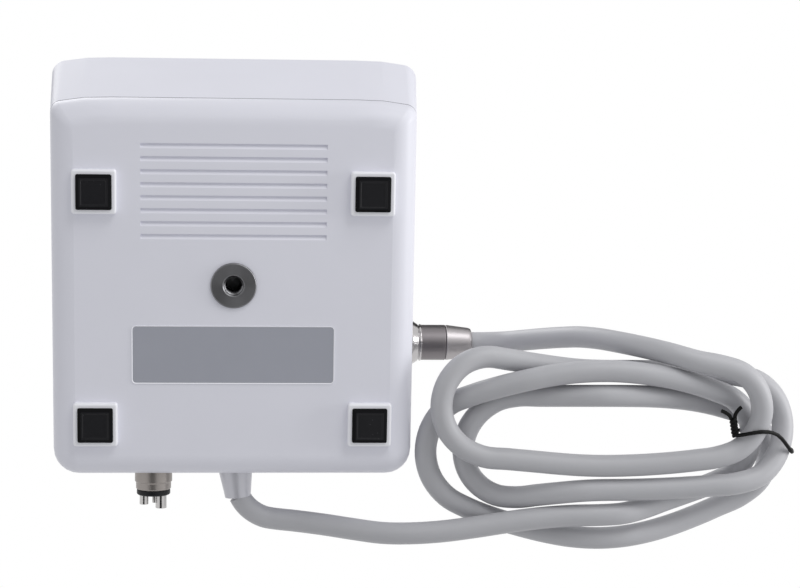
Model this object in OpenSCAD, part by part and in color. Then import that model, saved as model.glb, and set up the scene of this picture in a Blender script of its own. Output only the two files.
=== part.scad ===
// Desk control box of a dental micromotor, with its motor, hose and air supply inlet.
// Millimetres. Origin on the stand hub's axis at table level, +Z up, front of the box towards -Y.

/* [Housing] */
// Width of the housing at the seam
housing_w = 152; // [146:1:164]
// Distance from the hub's axis forward to the front wall at the seam
housing_front = 77; // [74:1:86]
// Distance from the hub's axis back to the rear wall at the seam
housing_rear = 83; // [80:1:92]
// Height of the bottom shell from its flat face to the seam, also the radius of its round edge
bottom_h = 10; // [8:0.5:13]
// Height of the front edge of the control panel above the table
front_edge_z = 52; // [46:1:56]
// Height of the flat top above the table
top_z = 72; // [68:1:74]
// How far the front wall leans out from the seam to the panel's edge
front_lean = 14; // [8:1:16]
// How far each side wall leans out at the front edge
side_lean_front = 2; // [1:0.5:3]
// How far each side wall leans out at the flat top
side_lean_top = 3; // [1:0.5:5]
// How far the rear wall leans out at the flat top
rear_lean = 5; // [3:0.5:7]
// Distance from the hub's axis back to the ridge where the panel meets the flat top
ridge_y = 14; // [10:1:20]
// Corner radius of the seam seen from above
seam_corner_r = 11; // [9:0.5:14]
// Corner radius of the top edges seen from above
top_corner_r = 10; // [8:0.5:13]
// Radius of the front corners seen from above
front_corner_r = 5; // [4:0.5:7]
// How far the ends of the front curve back
front_bow = 1.6; // [0.8:0.2:2.4]
// Length of that curve at each end of the front
front_bow_l = 9; // [6:1:12]
// Radius of the rounded top edges
edge_r = 4; // [3.2:0.2:5]
// Thickness of the housing walls
wall = 2.4; // [2:0.1:2.8]
// Height of the tongue that stands up inside the seam
tongue_h = 3; // [2:0.5:5]
// Thickness of the tongue
tongue_t = 1.4; // [1:0.1:1.8]
// Width of the visible joint at the seam
seam_gap = 0.4; // [0.2:0.1:0.8]

/* [Feet and screws] */
// Distance between the left and right feet
foot_span = 115; // [110:1:120]
// Distance from the hub's axis forward to the front feet
foot_front = 39.2; // [36:0.2:43]
// Distance from the hub's axis back to the rear feet
foot_rear = 59.2; // [57.4:0.2:62]
// Side of the square rubber pad
pad_size = 14.6; // [12:0.2:15]
// How far the pad stands below its frame
pad_proud = 1.6; // [1:0.1:2.4]
// Depth of the pad inside its frame
pad_depth = 1.4; // [1:0.1:2]
// Side of the square frame around a pad
frame_size = 18.4; // [17.6:0.2:20]
// Height of the square frame below the bottom face
frame_h = 3.4; // [2.6:0.1:4]
// Shank diameter of the housing screws
screw_d = 3; // [2.6:0.1:3.4]
// Length of the housing screws under the head
screw_len = 26; // [20:1:30]
// Head diameter of the housing screws
screw_head_d = 5.5; // [5:0.1:6]
// Head height of the housing screws
screw_head_h = 2.2; // [1.8:0.1:2.4]
// Outside diameter of the screw posts
post_d = 8.4; // [7.6:0.2:9]
// Height above the table where lower and upper screw posts meet
post_z = 22; // [20:1:24]

/* [Stand hub] */
// Outside diameter of the hub's flange
hub_d = 19.2; // [17:0.2:21]
// How far the flange stands below the bottom face
hub_flange_h = 1.2; // [0.8:0.1:1.8]
// Diameter of the hub's shank through the shell
hub_shank_d = 13; // [11:0.5:14]
// Core diameter of the hub's thread
thread_core_d = 6.8; // [6:0.1:7.4]
// Length of the hub from the flange's outer face to its inner end
hub_len = 12; // [11:0.5:12.8]
// Thickness of the nut that holds the hub
hub_nut_h = 5; // [4:0.5:6]
// Width across the flats of that nut
hub_nut_af = 19; // [17:0.5:21]

/* [Underside] */
// Number of moulded grooves
groove_count = 8; // [5:1:8]
// Distance between grooves
groove_pitch = 5.4; // [4.8:0.1:5.6]
// Length of a groove
groove_len = 77; // [60:1:84]
// Width of a groove
groove_w = 2.2; // [1.2:0.1:2.4]
// Depth of a groove
groove_depth = 1.1; // [0.6:0.1:1.3]
// Distance from the hub's axis forward to the last groove
groove_last = 20.4; // [19:0.2:23]
// Width of the type plate
plate_w = 84; // [70:1:92]
// Height of the type plate
plate_l = 24; // [20:1:27]
// Thickness of the type plate
plate_t = 0.3; // [0.2:0.05:0.6]
// Distance from the hub's axis back to the middle of the type plate
plate_y = 29.6; // [27:0.2:34]
// Corner radius of the type plate
plate_r = 2.5; // [1:0.5:4]

/* [Control panel] */
// Width of the control fascia
fascia_w = 124; // [116:1:130]
// Length of the control fascia down the slope
fascia_l = 72; // [68:1:76]
// Thickness of the control fascia
fascia_t = 1; // [0.6:0.1:1.2]
// Width of the display window
window_w = 60; // [48:1:70]
// Length of the display window down the slope
window_l = 26; // [20:1:28]
// Distance of the window's middle up the slope from the fascia's middle
window_up = 16; // [14:1:18]
// Width of the ledge that carries the window
ledge = 2; // [1.2:0.2:3]
// Diameter of a key
key_d = 10; // [8:0.5:11]
// Distance between keys
key_pitch = 18.4; // [17:0.2:18.6]
// Distance of the key row down the slope from the fascia's middle
key_down = 16; // [14:1:18]
// How far a key stands above the fascia
key_proud = 1.6; // [1.2:0.1:2.4]
// How far a key can be pressed
key_travel = 0.6; // [0.4:0.1:0.8]
// Width of the flange that keeps a key in
key_flange = 1.2; // [0.8:0.1:1.6]
// Depth of the keypad board below the inside of the panel
keypad_depth = 6; // [5.4:0.2:7]
// Width of the keypad board
keypad_w = 104; // [102:1:105]
// Length of the keypad board
keypad_l = 62; // [60:1:66]
// Thickness of the circuit boards
board_t = 1.6; // [1:0.2:2]
// Thickness of the display module
display_t = 3.6; // [2.5:0.1:4]

/* [Main board] */
// Width of the main board
board_w = 92; // [80:1:98]
// Length of the main board
board_l = 56; // [50:1:60]
// Distance from the hub's axis forward to the main board's middle
board_fwd = 8; // [6:1:10]
// Height of the main board's underside above the table
board_z = 20; // [19:0.5:21]
// Height of the heat sink
sink_h = 14; // [8:1:18]
// Number of fins on the heat sink
sink_fins = 6; // [4:1:8]
// Thickness of a fin
fin_t = 1.4; // [1:0.1:2]
// Width of the heat sink
sink_w = 40; // [30:1:44]
// Length of the heat sink
sink_l = 20; // [14:1:22]
// Diameter of the capacitors
cap_d = 9; // [6:0.5:10]
// Height of the capacitors
cap_h = 13; // [8:1:16]
// Height of the pressure sensor
sensor_h = 9; // [7:0.5:12]
// Width of the pressure sensor
sensor_w = 10; // [8:0.5:12]
// Diameter of the pressure sensor's nozzle
nozzle_d = 3; // [2:0.2:3.6]
// Length of the pressure sensor's nozzle
nozzle_l = 4; // [3:0.5:6]
// Width of the plug connector on the board
header_w = 24; // [14:1:26]
// Depth of the plug connector on the board
header_l = 7; // [5:0.5:8]
// Height of the plug connector on the board
header_h = 8; // [5:0.5:10]
// Shank diameter of the small screws
small_screw_d = 2.2; // [2:0.1:2.5]
// Length of the small screws in their posts
small_screw_l = 4; // [3:0.5:5]
// Head diameter of the small screws
small_head_d = 4; // [3.6:0.1:4.4]
// Head height of the small screws
small_head_h = 1.4; // [1:0.1:1.8]
// Outside diameter of the posts for the small screws
small_post_d = 6; // [5:0.2:7]
// Distance of a small screw from the edges of its board
corner_inset = 4; // [3.4:0.2:5]
// Outside diameter of the drive air tube inside the housing
air_tube_d = 3.8; // [3:0.2:4.2]
// Outside diameter of the water and chip air tubes inside the housing
service_tube_d = 2.4; // [2:0.1:2.8]

/* [Rear connections] */
// Height of the inlet and the hose gland above the table
port_z = 24; // [23:0.5:28]
// Distance from the hub's axis to the inlet, to the left
inlet_left = 34.2; // [30:0.2:40]
// Outside diameter of the inlet's collar
inlet_d = 16; // [14:0.2:18]
// Length of the collar outside the wall
inlet_collar_l = 5.6; // [5:0.2:7]
// Diameter of the inlet's coupling end
inlet_end_d = 15; // [14:0.2:15.4]
// Length of the coupling end
inlet_end_l = 3.2; // [2:0.2:4]
// Diameter of the inlet's shank through the wall
inlet_shank_d = 12.4; // [11.8:0.2:13]
// How much smaller the gasket is than the coupling end
gasket_less = 0.6; // [0.4:0.1:1.4]
// Thickness of the inlet gasket
gasket_t = 2.4; // [1.6:0.2:3]
// Outside diameter of the exhaust tube
exhaust_d = 4.8; // [4.2:0.1:5]
// Outside diameter of the drive air tube
drive_d = 3.8; // [3.2:0.1:4]
// Outside diameter of the water and chip air tubes
small_d = 1.8; // [1.6:0.1:2.2]
// How far the exhaust tube stands out of the gasket
exhaust_out = 5.6; // [4:0.2:7]
// How far the drive air tube stands out of the gasket
drive_out = 4; // [3:0.2:5]
// How far the small tubes stand out of the gasket
small_out = 4.4; // [3:0.2:5]
// How far the inlet reaches inside the wall
inlet_in = 9; // [8:0.5:11]
// Thickness of the nuts that hold the inlet and the gland
port_nut_h = 4; // [3:0.5:5]
// Distance from the hub's axis to the hose gland, to the right
gland_right = 1; // [0:0.5:4]
// Diameter of the gland at the wall
gland_d = 14.8; // [13.6:0.2:16]
// Diameter of the gland at its free end
gland_end_d = 11.4; // [10.6:0.2:12.4]
// Distance from the wall to where the gland starts to bend
gland_straight = 4; // [3:0.5:5]
// Radius of the gland's and the hose's bend
gland_bend_r = 18; // [18:0.5:19]
// Angle that the gland bends through
gland_bend = 26; // [24:1:28]
// Diameter of the gland's shank through the wall
gland_shank_d = 10.4; // [9:0.2:11.4]
// How far the gland reaches inside the wall
gland_in = 10; // [9:0.5:12]
// Height of the switch and the low voltage inlet above the table
power_z = 45; // [43:1:48]
// Distance from the hub's axis to the power switch, to the right
switch_right = 36; // [33:1:39]
// Length of the switch bezel
switch_l = 21; // [20:0.5:23]
// Width of the switch bezel
switch_w = 14; // [13:0.5:16]
// Thickness of the switch bezel
bezel_t = 1.4; // [1:0.1:1.6]
// Angle between the two positions of the rocker
rocker_turn = 16; // [10:1:18]
// Distance from the hub's axis to the low voltage inlet, to the right
jack_right = 58; // [55:1:60]
// Bore of the low voltage inlet
jack_bore = 6.4; // [5.6:0.1:6.6]
// Diameter of the contact pin in the low voltage inlet
jack_pin = 2.1; // [1.7:0.1:2.5]
// Depth of the low voltage inlet's bore
jack_depth = 9; // [8:0.5:10]

/* [Motor] */
// Distance from the hub's axis back to the motor's axis
motor_y = 38.4; // [37.4:0.2:39]
// Height of the motor's axis above the table
motor_z = 75; // [74:0.5:77]
// Diameter of the motor sleeve
motor_d = 21; // [20:0.2:21.6]
// Distance from the hub's axis to the motor sleeve's front end, to the right
motor_x = 22; // [16:1:26]
// Length of the motor sleeve
sleeve_l = 58; // [57:0.5:60]
// Wall of the motor sleeve
sleeve_wall = 1.2; // [0.9:0.1:1.5]
// Length of the tail
tail_l = 15.6; // [14:0.2:17]
// Length of the cone between the sleeve and the tail
tail_cone_l = 3; // [2:0.2:4]
// Width of the polished ring behind the cone
tail_ring_w = 1; // [0.6:0.1:1.4]
// Width of the groove in front of the ring
tail_groove_w = 0.5; // [0.3:0.1:0.8]
// Diameter of the tail and of the wide end of its nut
nut_d = 16; // [15.2:0.2:16.8]
// Diameter of the narrow end of the tail nut
nut_end_d = 13.4; // [13:0.2:14.4]
// Length of the tail nut
nut_l = 12; // [10:0.5:13]
// Radius of the tail nut's round end
nut_round = 1.8; // [1:0.2:1.8]
// Width of the cradle insert that the motor lies in
cradle_w = 27.4; // [26:0.2:30]
// Thickness of the cradle insert under the motor
cradle_t = 2.4; // [1.8:0.1:3]
// Diameter of the nose spigot that a hand-piece slides over
nose_d = 12.9; // [12:0.1:14]
// Length of the spigot's thick part
nose_l = 17; // [15:0.5:20]
// Diameter of the spigot's tip
tip_d = 9.2; // [8.6:0.2:10]
// Length of the spigot's tip
tip_l = 6; // [4:0.5:8]
// Section diameter of the seals on the spigot
seal_d = 1.2; // [1:0.1:1.4]
// Diameter of the rotor's magnet
rotor_d = 10.4; // [9:0.2:11]
// Diameter of the rotor's shaft
shaft_d = 3; // [2.6:0.1:3.4]
// Outside diameter of the bearings
bearing_d = 9; // [8:0.2:9.6]
// Width of the bearings
bearing_w = 4; // [3:0.5:4.5]
// Length of the stator
stator_l = 34; // [28:1:35]

/* [Hose] */
// Outside diameter of the hose
hose_d = 9.2; // [8.6:0.1:9.4]
// Thickness of the wire tie
tie_t = 1; // [0.6:0.1:1.2]
// Width of the wire tie
tie_w = 2.4; // [1.4:0.2:4]

/* [Clearances] */
// Clearance of moving pieces
move_gap = 0.3; // [0.2:0.05:0.4]
// Radial clearance of a shaft in its bearing
run_gap = 0.05; // [0.03:0.01:0.08]
// Clearance of pieces that are fitted together
seat_gap = 0.1; // [0.05:0.05:0.15]

/* [Hidden] */

$fn = 48;
eps = 0.01;
glue = 0.04;

half_w = housing_w / 2;
face_z = pad_proud + frame_h;
seam_z = face_z + bottom_h;
feet = [[-foot_span / 2, -foot_front], [foot_span / 2, -foot_front],
  [-foot_span / 2, foot_rear], [foot_span / 2, foot_rear]];
rear_draft = atan(rear_lean / (top_z - edge_r - seam_z));
hose_r = hose_d / 2;

// Control panel: the plane over the rounded front edge and the ridge.
rim_front = [-(housing_front + front_lean) + edge_r, front_edge_z - edge_r];
edge_corner_r = front_corner_r + 1.4;
rim_ridge = [ridge_y - top_corner_r + edge_r, top_z - edge_r];
slope = atan2(rim_ridge[1] - rim_front[1], rim_ridge[0] - rim_front[0]);
panel_mid = (rim_front + rim_ridge) / 2 + edge_r * [-sin(slope), cos(slope)];
key_xs = [for (i = [0 : 5]) (i - 2.5) * key_pitch];
keypad_top = -wall - keypad_depth;
keypad_posts = [for (i = [-1, 1]) for (j = [-1, 1])
  [i * (keypad_w / 2 - corner_inset), j * (keypad_l / 2 - corner_inset)]];
switch_top = -wall - key_flange - 1.6 - key_travel - seat_gap;

// Main board on four posts of the bottom shell.
board_y = -board_fwd;
board_posts = [for (i = [-1, 1]) for (j = [-1, 1])
  [i * (board_w / 2 - corner_inset), board_y + j * (board_l / 2 - corner_inset)]];
board_front = board_y - board_l / 2;
board_back = board_y + board_l / 2;
board_right = board_w / 2 - small_head_d - corner_inset;
sink_at = [-board_w / 2 + sink_w / 2 + small_head_d + corner_inset / 2,
  board_front + sink_l / 2 + corner_inset * 1.5];
sensor_at = [-board_w / 2 + sensor_w / 2 + small_head_d + corner_inset * 2, board_back - sensor_w - 2];

// Motor: places along its axis.
sleeve_r = motor_d / 2;
sleeve_in = sleeve_r - sleeve_wall;
plug_r = sleeve_in - seat_gap;
nose_x = motor_x - nose_l - tip_l;
tail_x = motor_x + sleeve_l;
nut_x = tail_x + tail_l;
tail_end = nut_x + seat_gap + nut_l;
plug_l = bearing_w + 3;
stator_x = motor_x + plug_l + 3;
flange_x = stator_x + stator_l + 3;
flange_l = bearing_w + 2;

// Rear wall and the local frame of what goes through it.
function wall_y(z) = housing_rear + (z - seam_z) * tan(rear_draft);
module on_rear(x, z) { translate([x, wall_y(z), z]) rotate([-90 - rear_draft, 0, 0]) children(); }
module on_panel() { translate([0, panel_mid[0], panel_mid[1]]) rotate([slope, 0, 0]) children(); }
module on_motor(x) { translate([x, motor_y, motor_z]) rotate([0, 90, 0]) children(); }
out_dir = [0, cos(rear_draft), -sin(rear_draft)];

// Rounded rectangle from -w to w and y0 to y1 with corner radius c.
function corner(cx, cy, c, a0) = [for (a = [0 : 15 : 90]) [cx + c * cos(a0 + a), cy + c * sin(a0 + a)]];
function rr(w, y0, y1, c) = concat(corner(w - c, y1 - c, c, 0), corner(-w + c, y1 - c, c, 90),
  corner(-w + c, y0 + c, c, 180), corner(w - c, y0 + c, c, 270));
module rr2(w, y0, y1, c) { polygon(rr(w, y0, y1, c)); }
// Housing seen from above: rear corners of radius c, front corners of radius f on a front that curves back.
function plan(w, y0, y1, c, f) = concat(corner(w - c, y1 - c, c, 0), corner(-w + c, y1 - c, c, 90),
  corner(-w + f, y0 + front_bow + f, f, 180),
  [[-w + f + front_bow_l, y0 + front_bow / 5], [-w + f + 2.2 * front_bow_l, y0],
   [w - f - 2.2 * front_bow_l, y0], [w - f - front_bow_l, y0 + front_bow / 5]],
  corner(w - f, y0 + front_bow + f, f, 270));
module plan2(w, y0, y1, c, f) { polygon(plan(w, y0, y1, c, f)); }
module box2(w, l, c) { rr2(w / 2, -l / 2, l / 2, c); }

// Bottom shell's outside, or its inside when o is the wall.
module low_form(o) {
  r = bottom_h - o;
  hull() {
    for (q = [0 : 15 : 90]) {
      s = bottom_h - r * cos(q);
      translate([0, 0, seam_z - r * sin(q)])
        linear_extrude(eps)
          plan2(half_w - s, -housing_front + s, housing_rear - s, max(seam_corner_r - s, 1),
            max(front_corner_r - s / 3, 1));
    }
    if (o > 0)
      translate([0, 0, seam_z + 1])
        linear_extrude(eps)
          plan2(half_w - o, -housing_front + o, housing_rear - o, seam_corner_r - o, front_corner_r - o);
  }
}

// Rounded corner of the top cover, with radius c.
module puck(x, y, z, c, o) {
  e = max(edge_r - o, 0.4);
  r = max(c - o, e);
  for (sx = [-1, 1])
    for (q = [0 : 30 : 90])
      translate([sx * x, y, z - o - e + e * sin(q)])
        cylinder(r = r - e + e * cos(q), h = eps, $fn = 32);
}

// Top cover's outside, or its inside when o is the wall.
module top_form(o) {
  hull() {
    translate([0, 0, o > 0 ? seam_z - 1 : seam_z + seam_gap])
      linear_extrude(eps)
        plan2(half_w - o, -housing_front + o, housing_rear - o, seam_corner_r - o, front_corner_r - o);
    for (b = [[0, 1], [1, 0.2], [2.2, 0]])
      puck(half_w + side_lean_front - edge_corner_r - b[0] * front_bow_l,
        -(housing_front + front_lean) + edge_corner_r + b[1] * front_bow,
        front_edge_z + b[1] * front_bow * tan(slope), edge_corner_r, o);
    puck(half_w + side_lean_top - top_corner_r, ridge_y, top_z, top_corner_r, o);
    puck(half_w + side_lean_top - top_corner_r, housing_rear + rear_lean - top_corner_r, top_z, top_corner_r, o);
  }
}

// Tube of radius r swept along a list of points, with n flat sides.
function unit(v) = v / norm(v);
function tangent(p, i) = unit(p[min(i + 1, len(p) - 1)] - p[max(i - 1, 0)]);
function ring(c, t, r, n) =
  let (s = unit(cross(t, [0, 0, 1])), u = cross(s, t))
  [for (k = [0 : n - 1]) let (a = 90 + 360 * k / n) c + r * (cos(a) * s + sin(a) * u)];
module sweep(p, rs, n, t0, t1) {
  m = len(p);
  pts = [for (i = [0 : m - 1])
    let (t = i == 0 ? unit(t0) : i == m - 1 ? unit(t1) : tangent(p, i))
    for (q = ring(p[i], t, is_list(rs) ? rs[i] : rs, n)) q];
  sides = [for (i = [0 : m - 2]) for (k = [0 : n - 1])
    let (a = i * n + k, b = i * n + (k + 1) % n)
    for (f = [[a, b, a + n], [b, b + n, a + n]]) f];
  cap0 = [for (k = [1 : n - 2]) [0, k + 1, k]];
  cap1 = [for (k = [1 : n - 2]) [(m - 1) * n, (m - 1) * n + k, (m - 1) * n + k + 1]];
  polyhedron(concat(pts), concat(sides, cap0, cap1), convexity = 6);
}
function smooth(t) = let (c = min(max(t, 0), 1)) c * c * (3 - 2 * c);

// Hose gland: straight out of the wall, then round a bend towards the right.
gland_root = [gland_right, wall_y(port_z), port_z];
bend_start = gland_root + gland_straight * out_dir;
function bend_at(a) = bend_start + gland_bend_r * (sin(a) * out_dir + (1 - cos(a)) * [1, 0, 0]);
function bend_dir(a) = cos(a) * out_dir + sin(a) * [1, 0, 0];

// Hose from the gland to the coil. The first points follow the bend, the rest are chosen by hand.
lead_points = concat(
  [for (a = [gland_bend, gland_bend + 12, gland_bend + 26, gland_bend + 42, gland_bend + 58]) bend_at(a)],
  [[28, 106.5, 20.5], [40, 107, 16.5], [52, 107.5, 11.5], [64, 108, 7.5], [76, 107.6, 5.4], [89, 106.6, 4.7],
   [103, 104.8, 4.7], [117, 102.6, 4.7], [131, 100.8, 4.7], [145, 99.7, 4.7], [158, 99.4, 4.7]]);

// Coil: each pass runs along the front, turns at the right, comes back along the rear and turns at the left.
coil_mid = 158;
coil_front = [99.4, 111.2, 88.3, 77.6];
coil_back = [36, 46.8, 38.1];
coil_right = [225.1, 235.6, 239, 226.4];
coil_left = [82.6, 98.9, 88.1];
right_turn_r = [20.9, 20.4, 22.2, 20.1];
left_turn_r = [26.3, 22.1, 21.3];
left_slant = [0, 5.2, -6.6];
last_half_h = 23.9;
coil_end = 0.6875;
// Heights of the passes above the table's level where they lie over one another.
floor_z = 4.7;
layer = 10.3;
cross_h = 5;
right_h = [12.4, 23.1, 15.2];
tie_lift = 1.8;
// Half an oval of four arcs, a long and b high, with end radius r; s runs from 0 on top to 12 at the bottom.
function run_r(a, b, r) = (pow(a - r, 2) + b * b - r * r) / (2 * (b - r));
function run_a(a, b, r) = asin((a - r) / (run_r(a, b, r) - r));
function run_pt(g, b, t) = [g * sin(t), b - g + g * cos(t)];
function half_oval(a, b, r, s) =
  let (g = run_r(a, b, r), w = run_a(a, b, r), t = 90 - w - (180 - 2 * w) * (s - 3) / 6)
  s < 3 ? run_pt(g, b, w * s / 3) :
  s <= 9 ? [a - r + r * cos(t), r * sin(t)] :
  let (q = run_pt(g, b, w * (12 - s) / 3)) [q[0], -q[1]];
// The s that lies at the share q of the half oval's length.
function oval_s(a, b, r, q) =
  let (run = run_r(a, b, r) * run_a(a, b, r), arc = r * (180 - 2 * run_a(a, b, r)), d = q * (2 * run + arc))
  d < run ? 3 * d / run :
  d < run + arc ? 3 + 6 * (d - run) / arc : 9 + 3 * (d - run - arc) / run;
function up(s, from, over) = smooth((s - from) / over);
function rise_right(k, s) =
  k == 0 ? right_h[0] * (s < 6 ? up(s, 0.16, 1.9) : 1 - up(s, 7.6, 3.75)) :
  k == 1 && s < 6 ? cross_h + (right_h[1] - cross_h) * up(s, 0, 3.2) :
  k == 1 ? right_h[1] * (1 - up(s, 8.75, 3.25)) :
  k == 2 ? right_h[2] * up(s, 2.6, 4.35) - (right_h[2] - layer) * up(s, 9, 2.95) :
  tie_lift * smooth(1 - abs(s - 4.6) / 2.4);
function rise_left(k, s) =
  k == 0 ? layer * up(s, 1.4, 2.55) - (layer - cross_h) * up(s, 10.1, 1.75) :
  k == 1 ? layer * min(up(s, 0, 4), 1 - up(s, 6.95, 4.35)) :
  layer * (1 - up(s, 1, 5.2));
function turn_right(k, q) =
  let (a = coil_right[k] - coil_mid, b = k == 3 ? last_half_h : (coil_front[k] - coil_back[k]) / 2,
    s = oval_s(a, b, right_turn_r[k], q), h = half_oval(a, b, right_turn_r[k], s))
  [coil_mid + h[0], coil_front[k] - b + h[1], floor_z + rise_right(k, s)];
function turn_left(k, q) =
  let (a = coil_mid - coil_left[k], b = (coil_front[k + 1] - coil_back[k]) / 2,
    s = oval_s(a, b, left_turn_r[k], q), h = half_oval(a, b, left_turn_r[k], s))
  [coil_mid - h[0], coil_back[k] + b - h[1] + left_slant[k] * smooth(h[0] / a), floor_z + rise_left(k, s)];
// Centre line of the coil with n points to each half turn.
function coil_points(n) = concat(
  [for (k = [0 : 2]) for (h = [0, 1]) for (i = [0 : n - 1])
    h == 0 ? turn_right(k, i / n) : turn_left(k, i / n)],
  [for (i = [0 : coil_end * n]) turn_right(3, i / n)]);

// Hose from the coil up to the motor's tail.
riser_points = [turn_right(3, coil_end), [197, 31.6, 5.2], [185, 28.8, 8.4], [174.5, 27.4, 14.6],
  [166, 27, 22.2], [158.6, 27.2, 30.4], [151.6, 28.2, 38.8], [144.6, 30.2, 47.4], [137.4, 32.6, 56.2], [129.4, 35.2, 64.8],
  [tail_end + 14.8, motor_y - 1.2, motor_z - 3.8], [tail_end + 6.6, motor_y - 0.2, motor_z - 0.6],
  [tail_end, motor_y, motor_z]];
coil_end_dir = riser_points[1] - turn_right(3, coil_end - 0.0625);

// Least distance between parts of the coil that are not next to each other along it, less the hose's diameter.
function coil_gap(p, skip) = min([for (i = [0 : len(p) - 1 - skip])
  min([for (j = [i + skip : len(p) - 1]) norm(p[i] - p[j])])]) - hose_d;
function path_len(p) = len(p) < 2 ? 0 : [for (i = 0, t = 0; i < len(p); t = t + (i + 1 < len(p) ?
  norm(p[i + 1] - p[i]) : 0), i = i + 1) t][len(p) - 1];

module bottom_shell() {
  color([0.87, 0.87, 0.89])
  difference() {
    union() {
      difference() {
        low_form(0);
        low_form(wall);
      }
      translate([0, 0, seam_z - 3])
        linear_extrude(tongue_h + 3)
          difference() {
            plan2(half_w - wall - seat_gap * 2, -housing_front + wall + seat_gap * 2,
              housing_rear - wall - seat_gap * 2, seam_corner_r - wall, front_corner_r - wall);
            plan2(half_w - wall - tongue_t, -housing_front + wall + tongue_t,
              housing_rear - wall - tongue_t, seam_corner_r - wall - tongue_t, front_corner_r - wall);
          }
      for (f = feet) {
        translate([f[0], f[1], pad_proud])
          linear_extrude(frame_h + wall)
            box2(frame_size, frame_size, 1.2);
        translate([f[0], f[1], face_z])
          cylinder(d = post_d, h = post_z - face_z);
      }
      for (b = board_posts)
        translate([b[0], b[1], face_z + wall / 2])
          cylinder(d = small_post_d, h = board_z - face_z - wall / 2);
    }
    for (f = feet) {
      translate([f[0], f[1], 0])
        linear_extrude(pad_proud + pad_depth)
          box2(pad_size + 2 * seat_gap, pad_size + 2 * seat_gap, 0.8);
      translate([f[0], f[1], 0])
        cylinder(d = screw_d + 2 * seat_gap, h = post_z + 1);
      translate([f[0], f[1], 0])
        cylinder(d = screw_head_d + 2 * seat_gap, h = head_seat_z);
    }
    for (i = [0 : groove_count - 1])
      translate([-groove_len / 2, -groove_last - i * groove_pitch, face_z])
        rotate([90, 0, 90])
          linear_extrude(groove_len)
            polygon([[-groove_w / 2, -1], [-groove_w / 2, groove_depth], [-groove_w / 5, groove_depth],
              [groove_w / 2, 0], [groove_w / 2, -1]]);
    translate([0, 0, face_z - 1])
      cylinder(d = hub_shank_d + 2 * seat_gap, h = wall + 2);
    on_rear(-inlet_left, port_z)
      nut_notch(inlet_shank_d);
    on_rear(gland_right, port_z)
      nut_notch(gland_shank_d);
    for (b = board_posts)
      translate([b[0], b[1], board_z - small_screw_l - 2])
        cylinder(d = small_screw_d + 2 * seat_gap, h = small_screw_l + 3);
  }
}

head_seat_z = pad_proud + pad_depth + screw_head_h + 0.4;

module top_cover() {
  color([0.87, 0.87, 0.9])
  difference() {
    union() {
      difference() {
        top_form(0);
        top_form(wall);
      }
      for (i = [0 : 3])
        translate([feet[i][0], feet[i][1], post_z])
          cylinder(d = post_d, h = (i < 2 ? panel_z(feet[i][1]) : top_z) - wall / 2 - post_z);
      on_panel()
        for (p = keypad_posts)
          translate([p[0], p[1], keypad_top])
            cylinder(d = small_post_d, h = keypad_depth + wall / 2);
    }
    cradle_block(seat_gap);
    on_panel() {
      translate([0, 0, -fascia_t - glue])
        linear_extrude(fascia_t + 5)
          box2(fascia_w + 2 * seat_gap, fascia_l + 2 * seat_gap, 4);
      translate([0, window_up, -wall - 1])
        linear_extrude(wall + 2)
          box2(window_w - 2 * ledge, window_l - 2 * ledge, 1);
      for (x = key_xs)
        translate([x, -key_down, -wall - 1])
          cylinder(d = key_d + 2 * move_gap, h = wall + 2);
      for (p = keypad_posts)
        translate([p[0], p[1], keypad_top - 1])
          cylinder(d = small_screw_d + 2 * seat_gap, h = small_screw_l + 1);
    }
    for (i = [0 : 3])
      translate([feet[i][0], feet[i][1], post_z - 1])
        cylinder(d = screw_d + 2 * seat_gap, h = head_seat_z + screw_len - post_z + 2);
    on_rear(-inlet_left, port_z)
      translate([0, 0, -wall * 2])
        cylinder(d = inlet_shank_d + 2 * seat_gap, h = wall * 3);
    on_rear(gland_right, port_z)
      translate([0, 0, -wall * 2])
        cylinder(d = gland_shank_d + 2 * seat_gap, h = wall * 3);
    on_rear(switch_right, power_z)
      translate([0, 0, -wall * 2])
        linear_extrude(wall * 3)
          box2(switch_w - 2, switch_l - 2, 0.5);
    on_rear(jack_right, power_z)
      translate([0, 0, -wall * 2])
        cylinder(d = jack_bore + 4 + 2 * seat_gap, h = wall * 3);
  }
}

// Cradle insert in a notch across the flat top, with the groove that the motor lies in.
cradle_z = motor_z - sleeve_r - move_gap - cradle_t;
module cradle_block(gap) {
  translate([-housing_w, motor_y - cradle_w / 2 - gap, cradle_z - gap])
    cube([2 * housing_w, cradle_w + 2 * gap, top_z]);
}
module motor_cradle() {
  color([0.7, 0.7, 0.73])
  difference() {
    intersection() {
      top_form(0);
      cradle_block(0);
    }
    on_motor(-housing_w)
      cylinder(r = sleeve_r + move_gap, h = 2 * housing_w);
  }
}

// Height of the panel above a point on the hub's y axis.
function panel_z(y) = panel_mid[1] + (y - panel_mid[0]) * tan(slope);

module rubber_feet() {
  color([0.12, 0.12, 0.12])
  for (f = feet)
    translate([f[0], f[1], 0])
      linear_extrude(pad_proud + pad_depth)
        box2(pad_size, pad_size, 0.8);
}

module housing_screws() {
  color([0.6, 0.6, 0.62])
  for (f = feet)
    translate([f[0], f[1], head_seat_z])
      difference() {
        union() {
          translate([0, 0, -screw_head_h])
            cylinder(d = screw_head_d, h = screw_head_h);
          cylinder(d = screw_d, h = screw_len);
        }
        translate([0, 0, -screw_head_h - eps])
          cylinder(d = 2.6, h = 1.4, $fn = 6);
      }
}

module stand_hub() {
  color([0.44, 0.44, 0.45])
  translate([0, 0, face_z - hub_flange_h])
    rotate_extrude()
      polygon([[thread_core_d / 2, 0.9], [thread_core_d / 2 + 0.9, 0], [hub_d / 2 - 0.4, 0], [hub_d / 2, 0.4],
        [hub_d / 2, hub_flange_h], [hub_shank_d / 2, hub_flange_h], [hub_shank_d / 2, hub_len],
        [thread_core_d / 2, hub_len]]);
}

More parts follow.
